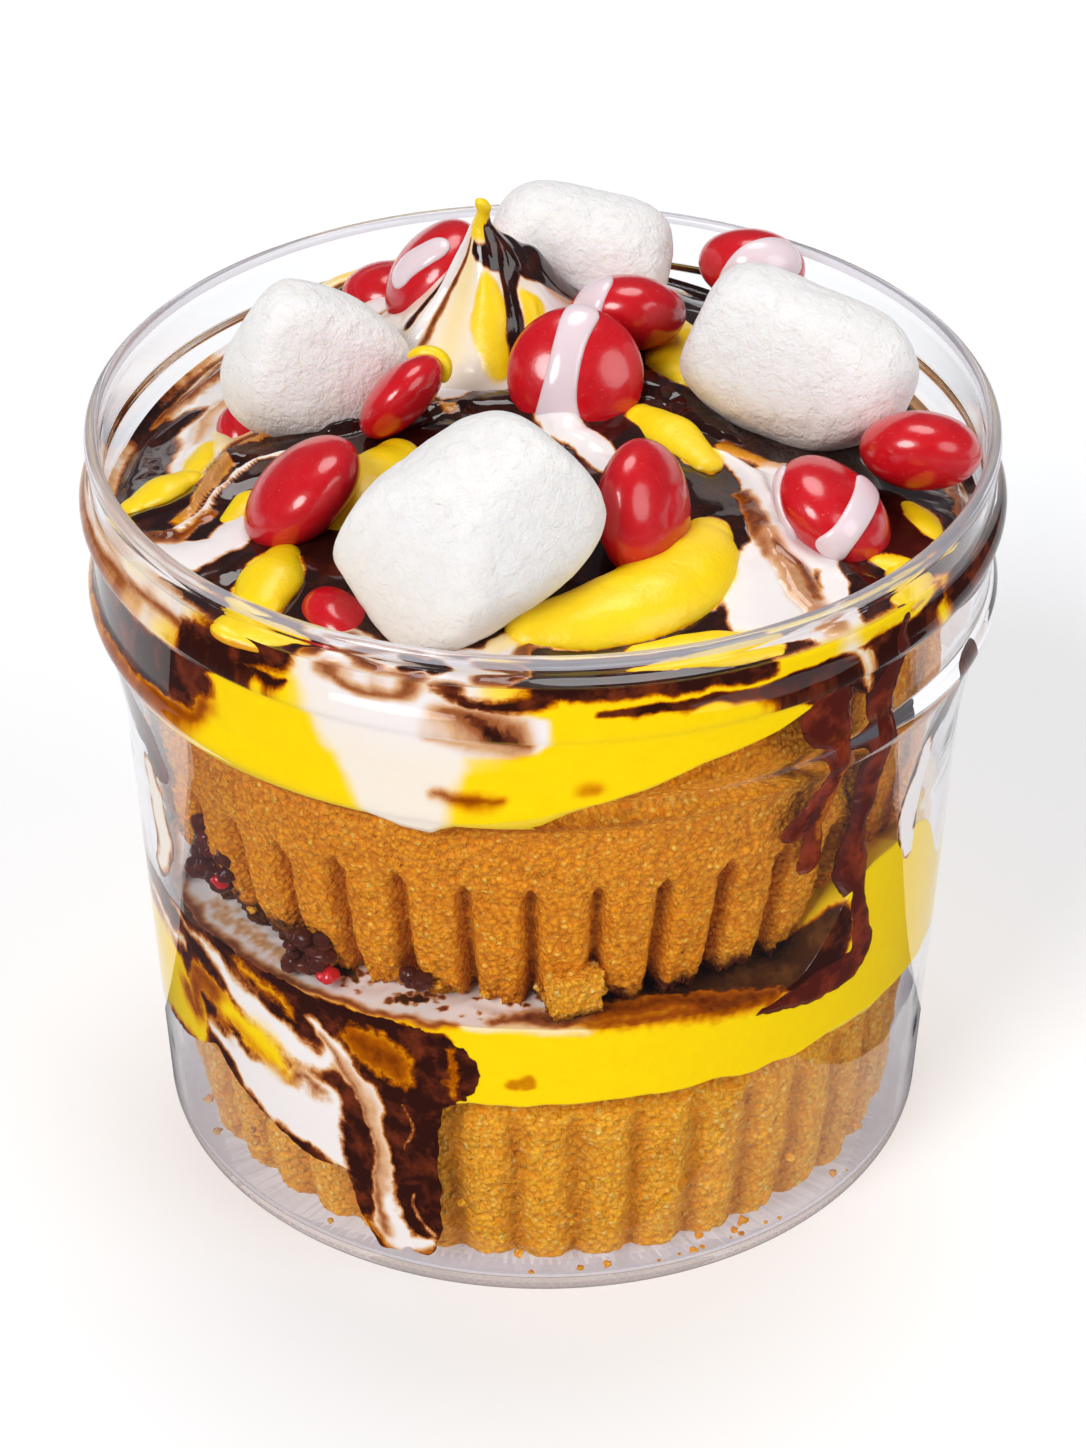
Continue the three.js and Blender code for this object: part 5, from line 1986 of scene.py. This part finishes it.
SWEETS = (
    Sweet(1, 13, (-22.3, -14.8, 77.2), 42, -97),
    Sweet(2, 13.2, (9.2, -20.6, 78.8), 76, 69),
    Sweet(3, 13.2, (3.1, 4.6, 78.8), 54, 2, milk=(
        ((4.4, 8, 84.4, 1.6), (3.6, 6.2, 84.2, 1.8), (2.6, 3.6, 83.2, 1.6), (1.9, 1.6, 80.8, 1.6),
         (1.4, 0.3, 78.4, 1.9), (1.3, -0.2, 76.2, 2.5), (1.6, 0, 74.6, 3)),)),
    Sweet(4, 11.4, (8.3, 15.8, 79.4), 34, 176, milk=(
        ((6.6, 15.4, 83.6, 1), (4.9, 13.6, 82.9, 1.9), (4, 12.6, 81.4, 2.2), (3.6, 12.2, 79.6, 2.2)),)),
    Sweet(5, 12.4, (-10.9, 25.2, 78.7), 50, -93, milk=(
        ((-9.2, 22.6, 83.6, 1.3), (-11.5, 22.2, 82.5, 1.6), (-13.5, 22.4, 80.9, 1.8),
         (-14.9, 22.2, 78.9, 1.6)),)),
    Sweet(6, 10.2, (-13.4, -1.2, 79.7), 54, -119, 5.2, custard=(
        ((-12.6, 2, 83.4, 0.7), (-11.2, 1.5, 83, 1.2), (-10.2, 0.5, 81.8, 1.4), (-10.2, -0.6, 80.6, 0.9)),)),
    Sweet(7, 10.8, (21, 29.3, 77.4), 34, 165, milk=(
        ((25.6, 27.4, 78.8, 2), (23.9, 25.9, 80.2, 2.6), (21.4, 24.6, 80.1, 2.8), (19.9, 24.5, 78.4, 2.6),
         (19.6, 25.2, 76.4, 2.8)),)),
    Sweet(8, 12.6, (27, -15.2, 75.3), 40, 90, milk=(
        ((30.6, -12.4, 77.2, 1.5), (30.3, -15.2, 77.8, 1.5), (28.9, -19.1, 77.4, 1.4),
         (27.4, -21.2, 76.2, 1.4), (25.6, -21.4, 74.2, 2)),
        ((22.6, -13.4, 79, 1.4), (21.5, -15.4, 77.4, 1.8), (21.6, -17.2, 75.4, 2),
         (23, -18.9, 73.8, 2.2)),)),
    Sweet(9, 11.6, (35.5, -6.9, 77.1), 34, 172),
    Sweet(10, 8.6, (-28.4, 6.6, 70), 60, 90, 6),
    Sweet(11, 10.8, (-17.3, -28.8, 70.8), 40, 110, 6.6),
    Sweet(12, 10.6, (-15.4, 33.4, 71.6), 20, 180),
)


PEAK_STROKES = (
    # bearing round the peak's own axis, and height
    THIN_MILK((0, 80, 60), rise=0),
    CREAM((-40, 85, 1.8), (-36, 82, 1.6), (-30, 79, 1.2), soft=1.5, rise=0),
    CUSTARD((-200, 92, 4.6), (200, 92, 4.6), soft=0.4, rise=0),
    CUSTARD((-2, 83.6, 1.4), (1, 82.4, 2.2), (3, 80.8, 1.9), (6, 79, 1.3), (7, 77.8, 0.9)),
    CUSTARD((52, 82, 1), (44, 80, 0.8), (36, 78.4, 0.5), rise=0.2),
    MILK((80, 81, 1.5), (84, 79, 2.2), (84, 77, 2.2), soft=0.6, rise=0),
    CARAMEL((100, 81, 1), (106, 79.6, 1.2), soft=0.8, rise=0),
    CHOCOLATE((60, 86, 2.2), (40, 84.6, 1.6), (31, 82.6, 1.1), (26, 80.6, 1.2), (21, 79, 0.9),
              (19, 77.4, 0.6), ragged=0.05),
    CHOCOLATE((-34, 86.8, 0.5), (0, 86.2, 0.9), (40, 86, 1.4), rise=0.05, ragged=0.02),
    CUSTARD((56, 81.6, 1.1), (48, 80, 1.1), (40, 78.4, 0.7), rise=0.2),
    CHOCOLATE((20, 87.2, 1.4), (70, 86.4, 2.6), (106, 84.4, 2.8), (124, 81.6, 2.8), (130, 77, 2.5),
              rise=0.35, ragged=0.03),
    CHOCOLATE((-90, 87.6, 0.5), (-96, 84.6, 0.8), (-88, 81.6, 0.6), (-80, 78.6, 0.5), soft=0.25, rise=0.2),
    SYRUP((-52, 87, 0.5), (-58, 84, 0.5), (-57, 81, 0.35), (-52, 78.4, 0.3), rise=0),
    MILK((-66, 88.2, 0.9), (-74, 85, 1.3), (-70, 82, 0.9), (-64, 79, 0.7), (-60, 77.2, 0.6), soft=0.25,
         rise=0.55),
)


@dataclass
class Peak:
    """Custard drawn up to a curled tip, with milk on its left and chocolate on its right."""

    axis: tuple[float, float] = (-5.2, 16.4)
    outline: tuple[tuple[float, float], ...] = (
        (14.0, 73.6), (12.0, 75.2), (9.7, 77.0), (8.3, 78.5), (6.8, 80.0), (5.3, 81.6), (4.0, 83.2),
        (2.9, 84.8), (1.95, 86.4), (1.25, 87.8), (0.85, 88.8), (0.66, 89.6), (0.74, 90.3), (0.58, 91.0),
        (0.0, 91.35),
    )
    drift: tuple[Triple, ...] = (
        (72.6, 0.0, 0.0), (82.0, 0.0, 0.3), (86.0, -0.4, 0.8), (88.4, -0.8, 1.0), (90.2, -0.5, 0.8),
        (91.4, -1.0, 0.6),
    )
    ridge_bearing: float = 130.0
    ridge_width: float = 22.0
    spread: float = 6.5
    columns: int = 300
    rows: int = 200

    def build(self) -> None:
        """Makes the peak and dresses it."""
        outline, drift = curve(self.outline, 6), np.array(self.drift)
        steps = run_length(outline)
        grain = Grain(91)

        def place(turn: Array, along: Array) -> Array:
            """Rule for the side of the peak.

            Args:
                turn: Share of a turn, from 0 to 1.
                along: Share of the way from its foot to its tip.

            Returns:
                Rows of x, y and z in millimetres.
            """
            bearing = 360 * turn - 180
            radius, height = follow(along, steps / steps[-1], outline)
            self.paint = Paint(unrolled(bearing, height, self.spread), 92, warp=0.2)
            self.paint.lay_round(PEAK_STROKES, self.spread)
            ridges = 0.05 * np.cos(np.radians(3 * bearing + 40)) + 0.04 * np.cos(np.radians(5 * bearing))
            apart = np.abs(bearing - self.ridge_bearing)
            aside = np.minimum(apart, 360 - apart)
            tall = (0.2 + 0.45 * smooth(79, 85, height)) * smooth(89, 86, height)
            ridges = ridges + tall * np.exp(-((aside / self.ridge_width) ** 2))
            ridges = ridges - 0.35 * smooth(120, 180, np.abs(bearing + 20)) * (aside > self.ridge_width)
            thin = np.clip(radius / 3, 0, 1)
            radius = radius * (1 + ridges * thin) + self.paint.rise * np.clip(radius / 2, 0, 1)
            points = around(bearing, radius, height)
            points += 0.12 * thin[:, None] * grain.at(points, 2.5)[:, None]
            points[:, :2] += self.axis + follow(height, drift[:, 0], drift[:, 1:]).T
            return points

        piece = sheet("custard_peak", self.columns, self.rows, place)
        self.paint.keep(piece)
        seal(piece)
        serve(close_below(piece, self.outline[0][1] - 1.5), "custard", SauceBlend())


@dataclass
class Cluster:
    """Handful of small rough lumps that lie together, as one piece."""

    name: str
    places: list[tuple[float, ...]]
    sizes: tuple[float, float]
    seed: int
    slot: str
    finish: object
    rough: float = 0.2
    detail: int = 3
    numbers: dict[str, float] = field(default_factory=dict)

    def build(self) -> None:
        """Makes the lumps, joins them and dresses them."""
        chance, grain = random.Random(self.seed), Grain(self.seed)
        lumps = []
        for bearing, out, height in self.places:
            lump = ball(self.name, self.detail)
            points = unit(read_points(lump))
            size = chance.uniform(*self.sizes)
            at = around(bearing, out, height)
            uneven = 1 + self.rough * grain.at(points * 0.9 + at * 7, 0.8, 2)
            squash = (1, 1, chance.uniform(0.7, 1))
            write_points(lump, points * (size * uneven)[:, None] * squash + at)
            lumps.append(lump)
        bpy.ops.object.select_all(action="DESELECT")
        for lump in lumps:
            lump.select_set(True)
        bpy.context.view_layer.objects.active = lumps[0]
        bpy.ops.object.join()
        piece = bpy.context.object
        write_numbers(piece, **self.numbers)
        serve(seal(piece), self.slot, self.finish)


def clusters() -> tuple[Cluster, ...]:
    """Wet chocolate beads, two red bits among them, and loose crumbs.

    Returns:
        The clusters, ready to build.
    """
    chance = random.Random(5)

    def scatter(count: int, *ranges: tuple[float, float]) -> list[tuple[float, ...]]:
        """Places whose bearing, distance from the axis and height each lie in their own range."""
        return [tuple(chance.uniform(*ends) for ends in ranges) for _ in range(count)]

    upper = scatter(22, (-58, -51), (37, 38.2), (39.0, 44.6))
    lower = scatter(22, (-38.5, -33), (37, 38), (34.6, 38.8))
    lower += scatter(5, (-21, -17.6), (36.2, 37), (35.6, 37.2))
    floor = [(*spot, 2.0) for spot in scatter(12, (-62, 62), (35.8, 36.8))]
    floor += [(30.5, 36.6, 3.2), (31.6, 36.4, 3.6), (29.6, 36.8, 2.6)]
    feet = scatter(9, (-62, 12), (35.4, 36.2), (34.6, 36.4))
    sides = scatter(40, (-64, 64), (37, 37.2), (4, 20))
    wet = {"slot": "chocolate", "finish": BEADED, "numbers": {"chocolate": 1.0}}
    dry = {"slot": "sponge", "finish": Sponge(), "numbers": {"crumb": 0.8, "hollow": 0.0}}
    dry |= {"rough": 0.5, "detail": 2}
    red = {"slot": "sugar_shell", "finish": SugarShell()}
    return (
        Cluster("chocolate_beads_upper", upper, (0.8, 1.5), 201, **wet),
        Cluster("chocolate_beads_lower", lower, (0.6, 1.15), 202, **wet),
        Cluster("red_bits", [(-52.4, 38.2, 39.6), (-32, 37.8, 34.9)], (0.9, 1.2), 203, **red),
        Cluster("floor_crumbs", floor, (0.12, 0.42), 204, **dry),
        Cluster("foot_crumbs", feet, (0.25, 0.6), 205, **dry),
        Cluster("side_crumbs", sides, (0.25, 0.5), 206, **dry),
    )


@dataclass
class Chunk:
    """Loose block of crumb lying in front of the upper cake's foot."""

    size: Triple = (5.0, 3.4, 4.8)
    bearing: float = 4.4
    radius: float = 36.0
    base: float = 33.9
    squareness: float = 0.93

    def build(self) -> None:
        """Makes the chunk and dresses it."""
        piece = ball("loose_crumb_block", 6)
        way = read_points(piece)
        cube, globe = np.abs(way).max(1, keepdims=True), np.linalg.norm(way, axis=1, keepdims=True)
        way /= cube * self.squareness + (1 - self.squareness) * globe
        grain = Grain(81)
        points = way * np.array(self.size) / 2
        points += way * (0.22 * grain.at(way, 0.5, 3) + 0.16 * grain.at(way, 0.14))[:, None]
        points = turned(points, 5, 12, 8)
        write_points(piece, points + around(self.bearing, self.radius, self.base + self.size[2] / 2))
        # Painted shade in small random hollows; the underside is soaked with sauce.
        write_numbers(
            piece,
            hollow=np.clip(0.4 * grain.at(way, 0.4), 0, 1),
            soak=smooth(-1.4, -2.4, points[:, 2]) * 0.8,
            crumb=np.clip(0.55 + 0.5 * grain.at(way, 0.2, 2), 0, 1),
        )
        serve(seal(piece), "sponge", Sponge(), "cake_chunk")


# ---------- studio


@dataclass
class Studio:
    """Camera, floor and soft light."""

    eye: Triple = (0.0, -385.0, 298.0)
    pitch: float = 33.66
    lens: float = 115.56
    sensor: float = 36.0
    floor_half: float = 50.0
    floor_depth: tuple[float, float] = (-44.0, 8.0)
    floor_end: float = 3000.0

    def build(self) -> None:
        """Sets up the whole studio."""
        self.camera()
        self.floor()
        self.lamps()
        self.sky()
        self.rays()

    def camera(self) -> None:
        """Adds the camera in front of the jar, looking down on it."""
        turn = (math.radians(90 - self.pitch), 0, 0)
        bpy.ops.object.camera_add(location=Vector(self.eye) * MM, rotation=turn)
        camera = bpy.context.object
        camera.data.lens = self.lens
        camera.data.sensor_width = self.sensor
        camera.data.sensor_fit = "AUTO"
        camera.data.clip_start = 0.01
        bpy.context.scene.camera = camera

    def floor(self) -> None:
        """Adds the floor in tiles; those before and beside the jar leave no white haze on its front."""
        left, right, near, far = -self.floor_half, self.floor_half, *self.floor_depth
        end = self.floor_end
        self.tile("floor_near", (-end, end), (-end, near))
        self.tile("floor_left", (-end, left), (near, far))
        self.tile("floor_right", (right, end), (near, far))
        self.tile("floor_middle", (left, right), (near, far), through=True)
        self.tile("floor_far", (-end, end), (far, end), through=True, mirrored=True)

    def tile(
        self,
        name: str,
        across: Sequence[float],
        deep: Sequence[float],
        through: bool = False,
        mirrored: bool = False,
    ) -> None:
        """Adds one tile of the floor.

        Args:
            name: The tile's name.
            across: Its least and greatest x in millimetres.
            deep: Its least and greatest y in millimetres.
            through: Whether it shows through clear plastic.
            mirrored: Whether it shows in reflections.
        """
        bpy.ops.mesh.primitive_plane_add(size=1, location=(0, 0, 0))
        tile = bpy.context.object
        tile.name = name
        corners = read_points(tile)
        corners[:, 0] = np.where(corners[:, 0] > 0, across[1], across[0])
        corners[:, 1] = np.where(corners[:, 1] > 0, deep[1], deep[0])
        write_points(tile, corners)
        LARDER.coat(tile, Tabletop())
        tile.visible_glossy, tile.visible_transmission = mirrored, through

    def lamp(self, name: str, toward: Triple, spread: float, strength: float) -> None:
        """Adds one far, wide, soft light.

        Args:
            name: The lamp's name.
            toward: Direction from the food to the lamp.
            spread: Its apparent width in degrees.
            strength: Its strength in watts on a square metre.
        """
        bpy.ops.object.light_add(type="SUN", location=Vector(toward))
        lamp = bpy.context.object
        lamp.name = name
        lamp.data.angle = math.radians(spread)
        lamp.data.energy = strength
        lamp.rotation_euler = Vector(toward).to_track_quat("Z", "Y").to_euler()

    def lamps(self) -> None:
        """Adds the soft lights."""
        self.lamp("key", (-0.60, -0.72, 0.78), 26, 2.1)
        self.lamp("fill", (0.85, -0.5, 0.55), 40, 1.08)
        self.lamp("top", (0.05, 0.35, 1.0), 32, 1.3)

    def sky(self) -> None:
        """Lights everything evenly from all round."""
        world = bpy.data.worlds.new("studio")
        bpy.context.scene.world = world
        world.use_nodes = True
        background = world.node_tree.nodes["Background"]
        background.inputs["Color"].default_value = (0.88, 0.88, 1.0, 1)
        background.inputs["Strength"].default_value = 0.11

    def rays(self) -> None:
        """Shows colours as they are and lets light pass through the jar's many walls."""
        scene = bpy.context.scene
        scene.view_settings.view_transform = "Standard"
        scene.cycles.max_bounces = 24
        scene.cycles.transmission_bounces = 24
        scene.cycles.glossy_bounces = 12


# ---------- assembly


def main() -> None:
    """Builds every piece in order."""
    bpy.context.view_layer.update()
    Studio().build()
    JAR.build()
    lower_cake().build()
    upper_cake().build()
    Filling().build()
    for film in wall_films():
        film.build()
    Chunk().build()
    for cluster in clusters():
        cluster.build()
    Crown().build()
    for number, line in enumerate(DOLLOP_LINES):
        Dollop(number, line).build()
    Peak().build()
    for marshmallow in MARSHMALLOWS:
        marshmallow.build()
    for sweet in SWEETS:
        sweet.build()


if __name__ == "__main__":
    logging.basicConfig(level=logging.INFO, format="%(name)s: %(message)s")
    main()
